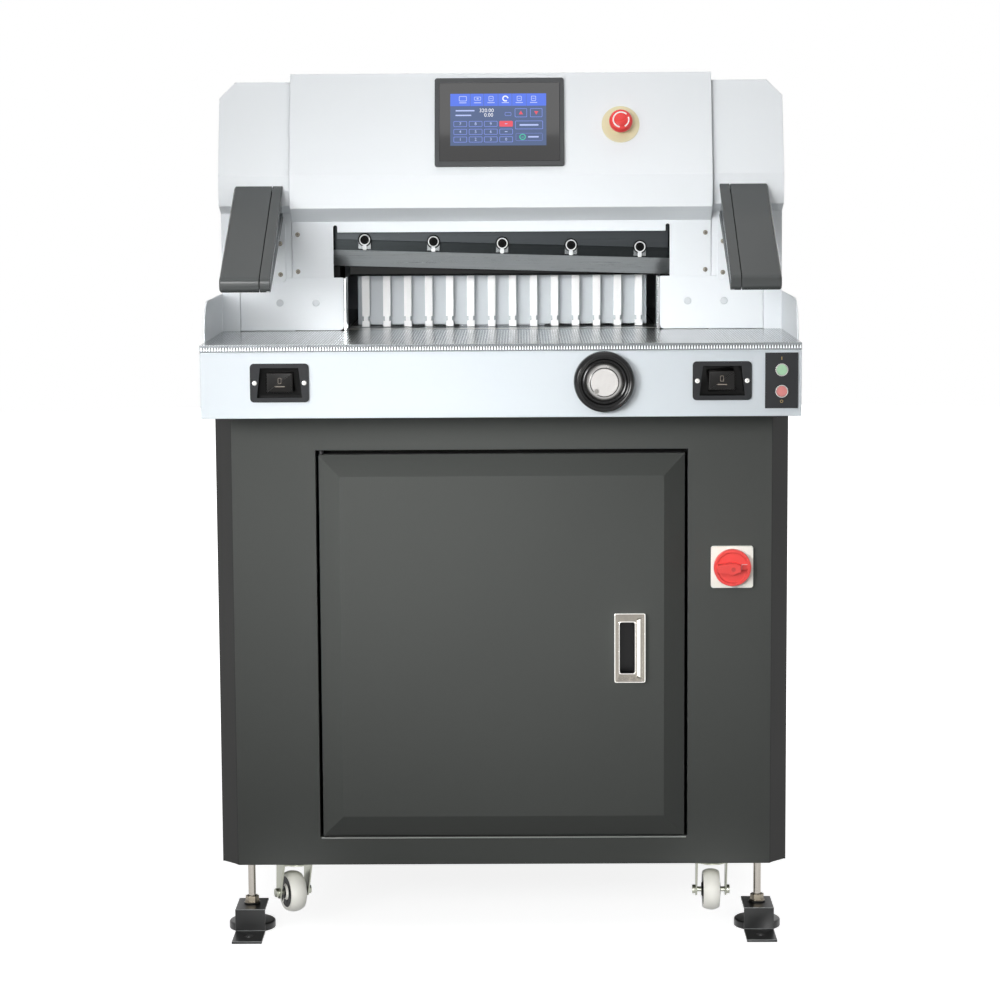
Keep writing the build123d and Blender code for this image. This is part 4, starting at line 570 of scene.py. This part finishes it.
eased("main_switch_knob", (knob_red, rim_red), 0.0008, 3, choose=knob_finish)
window = prism(rounded(0.0092, 0.0092, 0.0008), -0.0045, -0.0022)
window_place = front(knob_x + 0.0187, -0.3655, knob_z + 0.0006)
fitted(
    "main_switch_window", [(window, window_place)], window_white, "main_switch_knob",
    slot_of["main_switch_plate"],
)
dimple = lathe([
    (0.0, 0.0002), (0.0022, 0.0002), (0.0022, 0.0006), (0.0030, 0.0008), (0.0034, 0.0003), (0.0034, -0.001),
    (0.0, -0.001),
], 24)
dimple_place = front(knob_x + 0.0005, -0.3785, knob_z - 0.0008)
# The dimple takes a darker copy of the knob's red: painted shade in its hollow.
dimple_painted_shade = paint("knob dimple painted shade", "cf3f3b", 0.4, 0.00001)
fitted(
    "main_switch_dimple", [(dimple, dimple_place)], dimple_painted_shade, "main_switch_knob",
    slot_of["main_switch_knob"],
)


# Inside the cabinet. A hydraulic power pack and the electrical box, both painted machine grey, and
# two steel cylinders that hang from the top plate.
machine_grey = paint("machine grey", "5a6066", 0.5)
frame_steel = brushed("frame steel", "8e9296", 0.4, (500.0, 500.0, 500.0))
for node in ("hydraulic_unit", "control_box"):
    eased(node, machine_grey, 0.001)
eased("hydraulic_cylinders", frame_steel, 0.0006)


# Frame and backgauge drive. Welded steel side frames and beam, and the screw, rails and carriage that
# move the backgauge under the table's slot. The frame's near-black coat is painted shade for the dark
# inside seen through the knife's window.
# Near-black for the frame: painted shade for the dark inside behind the mouth.
frame_painted_shade = paint("frame painted shade black", "111212", 0.5, 0.00002, gloss=0.2)
eased("main_frame", frame_painted_shade, 0.0006)
for node in ("backgauge_carriage", "backgauge_drive", "backgauge_screw"):
    eased(node, frame_steel, 0.0006)


# Table. A ground steel plate on the frame. Its top is ribbed from front to back so that paper slides,
# with an open slot for the backgauge, and the ribs' ends show as small teeth along its front edge. A
# dark strip behind the teeth is painted shade for the grooves between them.
front_to_back = (1500.0, 40.0, 40.0)
table_steel = brushed("ground table", "85898b", 0.2, front_to_back)
rib_steel = brushed("polished ribs", "c6c8c9", 0.15, front_to_back, streak=0.05)
tooth_steel = brushed("table teeth", "dfe3e5", 0.35, even_grain)
groove_painted_shade = paint("table groove painted shade", "3c4042", 0.5)
eased("work_table", table_steel, 0.0006)


def repeated(name, stamp, finish, count=0, start=(0, 0, 0), step=(0, 0, 0), places=()):
    """Set copies of a stamp in a row, or at each of the places, and return them as one plain mesh."""
    tree = bpy.data.node_groups.new(name, "GeometryNodeTree")
    tree.interface.new_socket("Geometry", in_out="OUTPUT", socket_type="NodeSocketGeometry")
    tree.interface.new_socket("Places", in_out="INPUT", socket_type="NodeSocketGeometry")
    inputs = {
        "Count": ("NodeSocketInt", count), "Start": ("NodeSocketVector", start),
        "Step": ("NodeSocketVector", step), "Stamp": ("NodeSocketObject", stamp),
        "Finish": ("NodeSocketMaterial", finish),
    }
    keys = {
        title: tree.interface.new_socket(title, in_out="INPUT", socket_type=kind).identifier
        for title, (kind, value) in inputs.items()
    }
    given, line, spots, form, copies, solid, dressed, end = (
        tree.nodes.new(kind) for kind in (
            "NodeGroupInput", "GeometryNodeMeshLine", "GeometryNodeJoinGeometry", "GeometryNodeObjectInfo",
            "GeometryNodeInstanceOnPoints", "GeometryNodeRealizeInstances", "GeometryNodeSetMaterial",
            "NodeGroupOutput",
        )
    )
    line.mode = "OFFSET"
    for source, target in (
        (given.outputs["Count"], line.inputs["Count"]),
        (given.outputs["Start"], line.inputs["Start Location"]),
        (given.outputs["Step"], line.inputs["Offset"]),
        (given.outputs["Places"], spots.inputs["Geometry"]),
        (line.outputs["Mesh"], spots.inputs["Geometry"]),
        (given.outputs["Stamp"], form.inputs["Object"]),
        (spots.outputs["Geometry"], copies.inputs["Points"]),
        (form.outputs["Geometry"], copies.inputs["Instance"]),
        (copies.outputs["Instances"], solid.inputs["Geometry"]),
        (solid.outputs["Geometry"], dressed.inputs["Geometry"]),
        (given.outputs["Finish"], dressed.inputs["Material"]),
        (dressed.outputs["Geometry"], end.inputs["Geometry"]),
    ):
        tree.links.new(source, target)
    holder_mesh = bpy.data.meshes.new(name)
    holder_mesh.from_pydata([tuple(place) for place in places], [], [])
    holder = bpy.data.objects.new(name, holder_mesh)
    scene.collection.objects.link(holder)
    row = holder.modifiers.new("row", "NODES")
    row.node_group = tree
    for title, (kind, value) in inputs.items():
        row[keys[title]] = value
    bpy.context.view_layer.update()
    mesh = bpy.data.meshes.new_from_object(holder.evaluated_get(bpy.context.evaluated_depsgraph_get()))
    bpy.data.objects.remove(holder)
    bpy.data.objects.remove(stamp)
    mesh.materials.clear()
    return mesh


def stamped(name, *forms, lean=Matrix.Identity(4)):
    """Make the object that is copied, about the origin, with its w out towards the operator."""
    stamp = bpy.data.objects.new(name, merged(name, *[(form, lean @ front(0, 0, 0)) for form in forms]))
    scene.collection.objects.link(stamp)
    return stamp


def set_row(name, stamp, finish, body, slot, *replaced, **where):
    """Set copies of a stamp as one piece. where is a count, a start and a step, or the places."""
    return set_piece(name, repeated(name, stamp, finish, **where), finish, body, slot, *replaced)


rib_pitch, ribs_each_side, rib_z = 0.00413, 108, 0.9349
rib_section = [(-0.0011, 0.0), (-0.0007, 0.00022), (0.0007, 0.00022), (0.0011, 0.0)]
rib_places = [i * rib_pitch for i in range(-ribs_each_side, ribs_each_side + 1)]
slot_edge, rear_edge = 0.0115, 0.249
rear_places = [x for x in rib_places if slot_edge < abs(x) < rear_edge]
for name, near, far, across in (
    ("table_ribs_front", -0.4474, -0.1165, rib_places), ("table_ribs_rear", -0.009, 0.484, rear_places),
):
    set_row(
        name, stamped("rib", prism(rib_section, -far, -near)), rib_steel, "root", slot_of["work_table"],
        places=[(x, 0, rib_z) for x in across],
    )
edge_y, groove_z, groove_height, groove_half = -0.4500, 0.9266, 0.0049, 0.447
tooth_outline = [(-0.0006, groove_height), (-0.0013, 0.0), (0.0013, 0.0), (0.0006, groove_height)]
tooth = prism(tooth_outline, 0.0, 0.0006)
set_row(
    "table_teeth", stamped("tooth", tooth), tooth_steel, "root", slot_of["work_table"],
    count=len(rib_places), start=(rib_places[0], edge_y, groove_z), step=(rib_pitch, 0, 0),
)
# A dark strip behind the teeth: painted shade in the grooves between the ribs' ends.
strip = prism(oblong(-groove_half, groove_half, 0.0, groove_height), -0.0001, 0.0002)
strip_place = front(0, edge_y, groove_z)
fitted("table_groove_strip", [(strip, strip_place)], groove_painted_shade, "root", slot_of["work_table"])


# Cutting stick. A replaceable strip of hard white plastic, let into the table under the knife's edge,
# which meets it at the end of each cut.
stick_white = paint("cutting stick", "e8e6e0", 0.4, 0.00002)
eased("cutting_stick", stick_white, 0.0004)


# Apron and side fences. Folded steel covers with a white powder coat. The apron goes round the table's
# front and carries the controls, and a fence stands at each side of the table. The apron's coat is a
# greyer copy of the white, painted shade.
white = paint("white powder coat", "eff3f6", 0.42, 0.000012, 0.0016, 0.01)
apron_painted_shade = paint("apron coat painted shade", "d0d7dc", 0.42, 0.000012, 0.0016, 0.01)
eased("table_apron", apron_painted_shade, 0.0009, 3)
eased("side_fences", white, 0.0008)


# Cut buttons. A black moulded housing with a textured flange and a glossy well on each side of the
# apron; both buttons are pressed together to start a cut.
flange_grey = paint("textured flange", "2b2c2e", 0.62, 0.00006, 0.0009, 0.10, gloss=0.2)
well_black = paint("glossy well", "0a0a0a", 0.16, 0.00001, gloss=0.12)
button_grey = paint("button face", "100f0e", 0.3, 0.00001, gloss=0.18)
mark_grey = paint("button mark", "8d8378", 0.4, 0.00001)


def housing_finish(middle, normal, low, high):
    flange_back = -0.4505
    return 0 if middle.y < flange_back and normal.y < -0.9 else 1


eased("cut_button_housings", (flange_grey, well_black), 0.0007, choose=housing_finish)
cut_x, cut_y, control_z = 0.33, -0.446, 0.8785
frame_v, bar_v, mark_root, mark_face = 0.0028, -0.0058, -0.0002, 0.00012
for side, x in (("left", -cut_x), ("right", cut_x)):
    button = f"cut_button_{side}"
    eased(button, button_grey, 0.0012, 3)
    outside, inside = rounded(0.0052, 0.0088, 0.0016, v=frame_v), rounded(0.0040, 0.0076, 0.0010, v=frame_v)
    frame_mark = prism(outside, mark_root, mark_face, inside)
    bar_mark = prism(rounded(0.0150, 0.0012, 0.0004, v=bar_v), mark_root, mark_face)
    place = front(x, cut_y, control_z)
    fitted(
        f"cut_button_mark_{side}", [(frame_mark, place), (bar_mark, place)], mark_grey, button,
        slot_of[button],
    )


# Hand wheel. A turned and polished black rim with an anodised bevel ring and a brushed disc, on the
# shaft of a rotary encoder behind the apron.
mm = 0.001
rim_black = paint("polished black rim", "0d0d0e", 0.12, 0.000004, gloss=0.3)
bevel_silver = brushed("anodised bevel", "a3a2a0", 0.3, (300.0, 300.0, 300.0), streak=0.05)
disc_silver = brushed("brushed disc", "aaa8a6", 0.42, (120.0, 300.0, 3000.0), streak=0.05)
wheel_x, wheel_y, disc_y = 0.154, -0.4485, -0.4735
wheel_profile = [
    (0.0, -22.0), (6.0, -22.0), (6.0, 0.0), (39.0, 0.0), (43.8, 0.8), (45.3, 2.6), (45.3, 11.5),
    (44.9, 14.6), (43.8, 17.2), (42.0, 19.2), (40.0, 20.0), (38.4, 19.5), (37.5, 18.2), (36.6, 17.7),
    (35.6, 17.5), (34.6, 16.6), (33.9, 14.9), (32.6, 13.0), (31.0, 12.4), (29.8, 12.8), (29.5, 14.0),
    (28.9, 15.4), (22.6, 22.6), (21.8, 22.9), (21.5, 22.4), (21.0, 22.6), (20.6, 24.4), (20.0, 25.0),
    (0.0, 25.0),
]
wheel_bands = [0] * 20 + [1] * 3 + [0] * 2 + [2] * 3  # rim, bevel ring, groove, disc
wheel = lathe([(r * mm, w * mm) for r, w in wheel_profile], 96, wheel_bands)
wheel_place = front(wheel_x, wheel_y, control_z)
fitted(
    "handwheel_turned", [(wheel, wheel_place)], (rim_black, bevel_silver, disc_silver), "handwheel",
    slot_of["handwheel"], "handwheel",
)
finger_rest = lathe([
    (0.0, 0.0001), (0.0034, 0.0001), (0.0036, 0.0004), (0.0042, 0.0005), (0.0046, 0.0001), (0.0046, -0.001),
    (0.0, -0.001),
], 32, [0, 1, 1, 1, 1, 1])
rest_place = front(wheel_x - 0.0115, disc_y, control_z - 0.0135)
rest_shade = paint("dimple shade", "8c8a86", 0.3, 0.00001)
fitted(
    "handwheel_dimple", [(finger_rest, rest_place)], (rest_shade, disc_silver), "handwheel",
    slot_of["handwheel"],
)
eased("handwheel_encoder", black_plastic, 0.0006)


# Start and stop buttons. Two short-travel push buttons with pale caps in turned rings, on a small
# dark plate at the apron's right end.
plate_grey = paint("button plate", "2c2d2f", 0.5, 0.00003, gloss=0.2)
ring_steel = brushed("button rings", "c9c8c4", 0.25, even_grain)
cap_green = paint("pale green cap", "a9d5ae", 0.22, 0.00001)
cap_pink = paint("pale red cap", "e08a86", 0.22, 0.00001)
mark_gold = paint("gold marks", "b79a5a", 0.4, 0.00001)
button_x, button_heights = 0.4185, (0.8945, 0.8625)


def plate_finish(middle, normal, low, high):
    ring_radius, plate_face = 0.0097, -0.4503
    near = min(Vector((middle.x - button_x, middle.z - z)).length for z in button_heights)
    return 1 if near < ring_radius and middle.y < plate_face else 0


eased("button_plate", (plate_grey, ring_steel), 0.0003, choose=plate_finish)
eased("start_button", cap_green, 0.0004)
eased("stop_button", cap_pink, 0.0004)
mark_y, start_mark_z, stop_mark_z = -0.4505, 0.9116, 0.8474
mark_root, mark_face = -0.0003, 0.0001
start_bar = prism(rounded(0.0012, 0.0048, 0.0003), mark_root, mark_face)
stop_inside = rounded(0.0032, 0.0032, 0.0015)
stop_ring = prism(rounded(0.0046, 0.0046, 0.0022), mark_root, mark_face, stop_inside)
fitted(
    "button_marks",
    [(start_bar, front(button_x, mark_y, start_mark_z)), (stop_ring, front(button_x, mark_y, stop_mark_z))],
    mark_gold, "root", slot_of["button_plate"],
)


# Mouth panels and gauges. White coated sheets close the front of the frame round the cutting mouth, and
# polished steel strips stand at the sides of the table.
eased("lower_mouth_panels", white, 0.0006)
eased("upper_mouth_panel", white, 0.0006)
polished = brushed("polished steel", "dcdfe0", 0.16, (900.0, 900.0, 40.0), streak=0.05)
eased("side_gauges", polished, 0.0003)
plug_grey = paint("hole plugs", "d3d8db", 0.4, 0.00001)
plug = lathe([
    (0.0, 0.0), (0.0058, 0.0), (0.0058, 0.0005), (0.0051, 0.0011), (0.0046, 0.0012), (0.0, 0.0012),
], 28)
panel_y, plug_z = -0.115, 0.98
set_row(
    "panel_plugs", stamped("plug", plug), plug_grey, "root", slot_of["lower_mouth_panels"],
    places=[(x, panel_y, plug_z) for x in (-0.356, -0.298, 0.298, 0.356)],
)


# Panel screws. Small pan-head screws with a cross recess hold the panels, the brackets and the cut
# button housings. Each recess is dark crossed bars on the head, painted shade.
screw_grey = brushed("panel screws", "8f897e", 0.3, even_grain)
screw_white = brushed("housing screws", "f2f0ec", 0.3, even_grain)
recess_painted_shade = paint("screw recess painted shade", "2b2a28", 0.5, 0.00001)
screw_profile = [
    (0.0, -0.0002), (0.0037, -0.0002), (0.0038, 0.0006), (0.0035, 0.0014), (0.0028, 0.0021),
    (0.0016, 0.0025), (0.0, 0.0026),
]
bracket_y, flange_y = -0.1175, -0.451
panel_places = [
    (side * x, y, z) for side in (-1, 1)
    for x, y, z in (
        (0.326, panel_y, 1.03), (0.326, panel_y, 1.089),
        (0.354, bracket_y, 1.0255), (0.354, bracket_y, 1.075),
    )
]
housing_places = [(side * x, flange_y, control_z) for side in (-1, 1) for x in (0.293, 0.367)]


def cross():
    """Two crossed dark bars on a screw's head, painted shade that stands for its recess."""
    long, wide = 0.0036, 0.0007
    return [
        prism(rounded(width, height, 0.0002, 1), 0.001, 0.00264)
        for width, height in ((long, wide), (wide, long))
    ]


for name, finish, places, replaced in (
    ("panel_screw", screw_grey, panel_places, ["panel_screws"]),
    ("housing_screw", screw_white, housing_places, []),
):
    set_row(
        f"{name}_heads", stamped(name, lathe(screw_profile, 20)), finish, "root", slot_of["panel_screws"],
        *replaced, places=places,
    )
    set_row(
        f"{name}_recesses", stamped("cross", *cross()), recess_painted_shade, "root", slot_of["panel_screws"],
        places=places,
    )


# Backgauge comb. A milled plate with fourteen white coated fingers in front, which push the stack
# towards the knife; the plate behind them has a greyer copy of the white, painted shade in the recesses.
comb_white = paint("white fingers", "ffffff", 0.3, 0.00001)
comb_plate_painted_shade = paint("comb plate painted shade", "bfc5c9", 0.36, 0.00001)


def comb_finish(middle, normal, low, high):
    finger_face, finger_root = -0.0275, -0.017
    return 0 if middle.y < finger_face or abs(normal.x) > 0.9 and middle.y < finger_root else 1


eased("backgauge_comb", (comb_white, comb_plate_painted_shade), 0.0005, choose=comb_finish)


# Clamp. A steel beam, painted black, that comes down on two rods behind the knife and presses the
# stack on the table while it is cut.
black_paint = paint("black paint", "111212", 0.4, gloss=0.15)
eased("clamp_beam", black_paint, 0.0006)


# Knife. A high-speed steel blade with a ground bevel, held at the lower edge of a tilted carrier by
# five bolts with slotted plates. The carrier rides on a slider in the frame's slanted guides.
along_knife = (30.0, 3000.0, 3000.0)
slider_black = brushed("slider steel", "16181a", 0.3, along_knife, streak=0.3)
eased("knife_slider", slider_black, 0.0006)
carrier_grey = brushed("carrier", "35383a", 0.3, along_knife)
blade_dark = brushed("blade flat", "26292a", 0.2, along_knife, streak=0.4)
bevel_steel = brushed("ground bevel", "b4b7b8", 0.3, along_knife, streak=0.25)


def blade_finish(middle, normal, low, high):
    bevel_top = 1.075
    return 1 if normal.y < -0.2 and normal.z < -0.1 and middle.z < bevel_top else 0


eased("knife_carrier", carrier_grey, 0.0004)
eased("knife_blade", (blade_dark, bevel_steel), 0.0002, choose=blade_finish)
halo_black = paint("bolt socket", "0b0c0c", 0.6, 0.00001, gloss=0.08)
bolt_white = paint("bolt ring", "e9ebec", 0.3, 0.00001)
lug_silver = brushed("bolt lugs", "6f7273", 0.28, even_grain)
collar = lathe([
    (0.0070, 0.0), (0.0087, 0.0), (0.0087, 0.0046), (0.0082, 0.0050), (0.0074, 0.0050), (0.0070, 0.0046),
], 36, closed=True)
socket = lathe([
    (0.0, 0.0), (0.0071, 0.0), (0.0071, 0.0040), (0.0045, 0.0044), (0.0038, 0.0030), (0.0, 0.0030),
], 36)
halo = lathe([(0.0, -0.001), (0.0108, -0.001), (0.0108, 0.0014), (0.0, 0.0014)], 36)
lug = prism(oblong(-0.0098, 0.0098, -0.0145, -0.002), -0.001, 0.0010)
bolt_slot = prism(rounded(0.0062, 0.0085, 0.0018, v=-0.0122), 0.0004, 0.0016)
bolt_count, bolt_start, bolt_step = 5, (-0.21965, -0.0965, 1.0797), (0.11045, 0, -0.003375)
tilt = Matrix.Rotation(radians(1.75), 4, "Y")
for name, forms, finish, replaced in (
    ("knife_bolt_rings", [collar], bolt_white, ["knife_bolts"]),
    ("knife_bolt_sockets", [socket, halo], halo_black, []),
    ("knife_bolt_lugs", [lug], lug_silver, []),
    ("knife_bolt_slots", [bolt_slot], bolt_white, []),
):
    set_row(
        name, stamped(name, *forms, lean=tilt), finish, "knife_carrier", slot_of["knife_bolts"], *replaced,
        count=bolt_count, start=bolt_start, step=bolt_step,
    )


# Head. Folded covers with the white coat: the centre cover leans back above the mouth, the side
# housings close the sides of the frame and the hood covers the rear table.
for node in ("head_centre_cover", "side_housings", "rear_hood"):
    eased(node, white, 0.0010, 3, 12)


# Touch screen. A panel with a moulded bezel and a black glass, behind which a display shows a header,
# two numbers and a keypad.
crease, lean_back = Vector((0, -0.157, 1.183)), radians(18)
sideways = Vector((1, 0, 0))
upward = Vector((0, sin(lean_back), cos(lean_back)))
outward = Vector((0, -cos(lean_back), sin(lean_back)))


def panel(u, v, w=0.0):
    """The place on the leaning face of the head, from the middle of its crease."""
    spot = crease + sideways * u + upward * v + outward * w
    return Matrix.Translation(spot) @ Matrix((sideways, upward, outward)).transposed().to_4x4()


def lettering(text, size):
    """Flat characters, centred, as a thin form."""
    curve = bpy.data.curves.new(text, "FONT")
    curve.body, curve.size, curve.extrude = text, size, 0.00008
    curve.align_x, curve.align_y, curve.resolution_u = "CENTER", "CENTER", 3
    writing = bpy.data.objects.new(text, curve)
    scene.collection.objects.link(writing)
    bpy.context.view_layer.update()
    mesh = bpy.data.meshes.new_from_object(writing.evaluated_get(bpy.context.evaluated_depsgraph_get()))
    form = bmesh.new()
    form.from_mesh(mesh)
    bmesh.ops.remove_doubles(form, verts=form.verts, dist=1e-7)
    bmesh.ops.recalc_face_normals(form, faces=form.faces)
    bpy.data.objects.remove(writing)
    bpy.data.meshes.remove(mesh)
    return form


def display(name, code):
    """A lit area of the screen, faintly uneven."""
    cloud_scale, unevenness = 30.0, 0.06
    material = bpy.data.materials.new(name)
    shader = Shader(material)
    cloud = shader.noise(shader.here(), cloud_scale)
    shader.show(shader.node("ShaderNodeBsdfPrincipled", None, {
        "Base Color": (0.005, 0.005, 0.006, 1),
        "Roughness": 0.15,
        "Emission Color": shader.blend(cloud, tint(code, 1 - unevenness), tint(code, 1 + unevenness)),
        "Emission Strength": 1.0,
    }))
    return material


bezel_grey = paint("bezel", "3a3c3e", 0.42, 0.00003)
eased("touch_screen_bezel", bezel_grey, 0.001, 3)
glass_black = paint("black glass", "060608", 0.06, 0.000001, coat=1.0)
eased("touch_screen_glass", glass_black, 0.0003)
glass_face = max((v.co - crease).dot(outward) for v in nodes["touch_screen_glass"].data.vertices)
screen_u, screen_v = -0.0037, 0.0889
layer_rise, layer_depth = 0.00008, 0.00006
lit_parts = {
    "screen_header": ("4f74ea", []), "screen_body": ("4b5f88", []), "screen_lines": ("7f92ea", []),
    "screen_white": ("f4f6ff", []), "screen_pale": ("b9c7fb", []), "screen_red": ("ea5063", []),
    "screen_green": ("3fc9a6", []),
}


def shown(part, form, u, v, layer):
    """Add a form to a part of the picture, at millimetres from the middle of the display."""
    place = panel(screen_u + u * mm, screen_v + v * mm, glass_face + layer * layer_rise)
    lit_parts[part][1].append((form, place))


def block(part, u, v, width, height, layer=1, corner=0.6):
    outline = rounded(width * mm, height * mm, corner * mm, 2)
    shown(part, prism(outline, 0.0, layer_depth), u, v, layer)


def key(part, u, v, width, height, line=0.8):
    outer = rounded(width * mm, height * mm, 0.0015, 3)
    inner = rounded((width - 2 * line) * mm, (height - 2 * line) * mm, 0.0009, 3)
    shown(part, prism(outer, 0.0, layer_depth, inner), u, v, 2)


header_v, icon_v = 32.8, 34.8
block("screen_body", 0, -10.2, 152, 65.6, 1, 0.1)
block("screen_header", 0, header_v, 152, 20.4, 1, 0.1)
for column, u in enumerate((-56.1, -32.7, -11.4, 11.4, 33.4, 56.1)):
    part = "screen_white" if column == 3 else "screen_pale"
    if column == 0:
        key(part, u, icon_v, 12.5, 8.5, 1.0)
    elif column == 3:
        for turn in range(10):
            around = radians(20 + turn * 30)
            block(part, u + 4.0 * cos(around), icon_v + 4.0 * sin(around), 2.3, 2.3, 2, 1.0)
    elif column == 1:
        key(part, u, icon_v, 11.0, 6.2, 0.9)
        block(part, u, icon_v, 3.4, 2.6, 2, 1.2)
    else:
        key(part, u, icon_v, 7.8, 8.4, 1.0)
        block(part, u, icon_v, 3.6, 0.9, 2, 0.3)
    block("screen_pale", u, 28.0, 11.5, 1.3, 2, 0.4)
    if column:
        block("screen_body", u - 11.6, header_v, 0.5, 20.4, 2, 0.1)
block("screen_pale", -52.6, 14.9, 30, 2.2, 2, 0.6)
block("screen_pale", -55.2, 7.2, 25, 2.2, 2, 0.6)
shown("screen_white", lettering("320.00", 0.0086), -18.6, 14.9, 2)
shown("screen_white", lettering("0.00", 0.0086), -15.2, 7.4, 2)
key("screen_lines", 15.5, 9.0, 10.2, 6.0, 0.7)
for u, sense in ((35.9, 1), (60.2, -1)):
    key("screen_lines", u, 11.0, 19.4, 14.6)
    arrow = [(-0.0034, -0.0026 * sense), (0.0034, -0.0026 * sense), (0.0, 0.0034 * sense)]
    shown("screen_red", prism(arrow, 0.0, layer_depth), u, 11.0, 2)
key("screen_lines", 48.7, -9.2, 44.0, 14.0)
block("screen_pale", 48.7, -9.2, 30.0, 2.6, 2, 0.8)
key("screen_lines", 48.8, -29.0, 42.2, 12.4, 0.4)
hoop = [(0.0051 * cos(pi * i / 12), 0.0051 * sin(pi * i / 12)) for i in range(24)]
hoop_inside = [(0.72 * a, 0.72 * b) for a, b in hoop]
shown("screen_green", prism(hoop, 0.0, layer_depth, hoop_inside), 38.4, -28.9, 2)
block("screen_green", 38.4, -29.3, 4.0, 1.1, 2, 0.4)
block("screen_pale", 55.5, -28.9, 17.0, 2.4, 2, 0.8)
column_places, row_places = (-60.2, -35.9, -11.9, 12.4), (-7.1, -20.1, -32.8)
digits = ("7", "8", "9", "", "4", "5", "6", "", "1", "2", "3", "0")
for number, digit in enumerate(digits):
    u, v = column_places[number % 4], row_places[number // 4]
    if number == 3:
        block("screen_red", u, v, 21.4, 9.6, 2, 1.5)
        block("screen_pale", u, v, 4.0, 1.0, 3, 0.3)
        continue
    key("screen_lines", u, v, 21.3, 9.5)
    if digit:
        shown("screen_pale", lettering(digit, 0.0068), u, v, 2)
    else:
        block("screen_pale", u, v, 4.4, 1.1, 2, 0.3)
for part, (code, forms) in lit_parts.items():
    fitted(part, forms, display(part, code), "root", slot_of["touch_screen_glass"])


# Emergency stop. A pale yellow legend ring, left bare, with its barrel, a black moulded plunger, and a
# red mushroom head that twists to release, with a broken white ring on it.
stop_yellow = paint("legend ring", "e6e0b9", 0.42, 0.00002)
stop_red = paint("stop red", "ee3a38", 0.28, 0.00001)
ring_white = paint("head ring", "fbf4f2", 0.4, 0.00001)
eased("estop_base", stop_yellow, 0.0005)
eased("estop_plunger", black_plastic, 0.0005)
mushroom_profile = [
    (0.0, 14.0), (16.6, 14.0), (17.8, 14.4), (18.5, 15.6), (18.5, 18.4), (18.1, 20.2), (17.0, 22.2),
    (15.6, 23.6), (14.4, 24.4), (13.6, 24.6), (11.0, 24.6), (10.4, 24.9), (9.9, 25.7), (9.2, 26.0),
    (0.0, 26.0),
]
mushroom = lathe([(r * mm, w * mm) for r, w in mushroom_profile], 64)
stop_place = panel(0.19, 0.0815)
fitted(
    "estop_mushroom", [(mushroom, stop_place)], stop_red, "estop_head", slot_of["estop_head"],
    "estop_head",
)
ring_inside, ring_outside, ring_low, ring_high = 0.0112, 0.0134, 0.0243, 0.0248
arcs = []
for first, last in ((45, 260), (297, 380)):
    steps = (last - first) // 7
    angles = [radians(first + (last - first) * i / steps) for i in range(steps + 1)]
    outline = [(ring_outside * cos(a), ring_outside * sin(a)) for a in angles]
    outline += [(ring_inside * cos(a), ring_inside * sin(a)) for a in reversed(angles)]
    arcs.append((prism(outline, ring_low, ring_high), stop_place))
fitted("estop_arrow_ring", arcs, ring_white, "estop_head", slot_of["estop_head"])


# Light curtain. Arms with a dark grey coat slope forward from the head on both sides of the mouth, and
# each carries a sensor bar with a black window on its inner side.
arm_grey = paint("arm coat", "464949", 0.19, 0.00001, gloss=0.34)
eased("curtain_arms", arm_grey, 0.0011, 3)
bar_black = paint("sensor window", "0b0b0c", 0.15, 0.00001, coat=0.5)
aluminium = brushed("anodised bar", "8f9294", 0.35, (900.0, 60.0, 900.0))


def bar_finish(middle, normal, low, high):
    window_near, window_far = 0.3468, 0.349
    return 1 if abs(normal.x) > 0.9 and window_near < abs(middle.x) < window_far else 0


eased("curtain_bars", (aluminium, bar_black), 0.0003, choose=bar_finish)
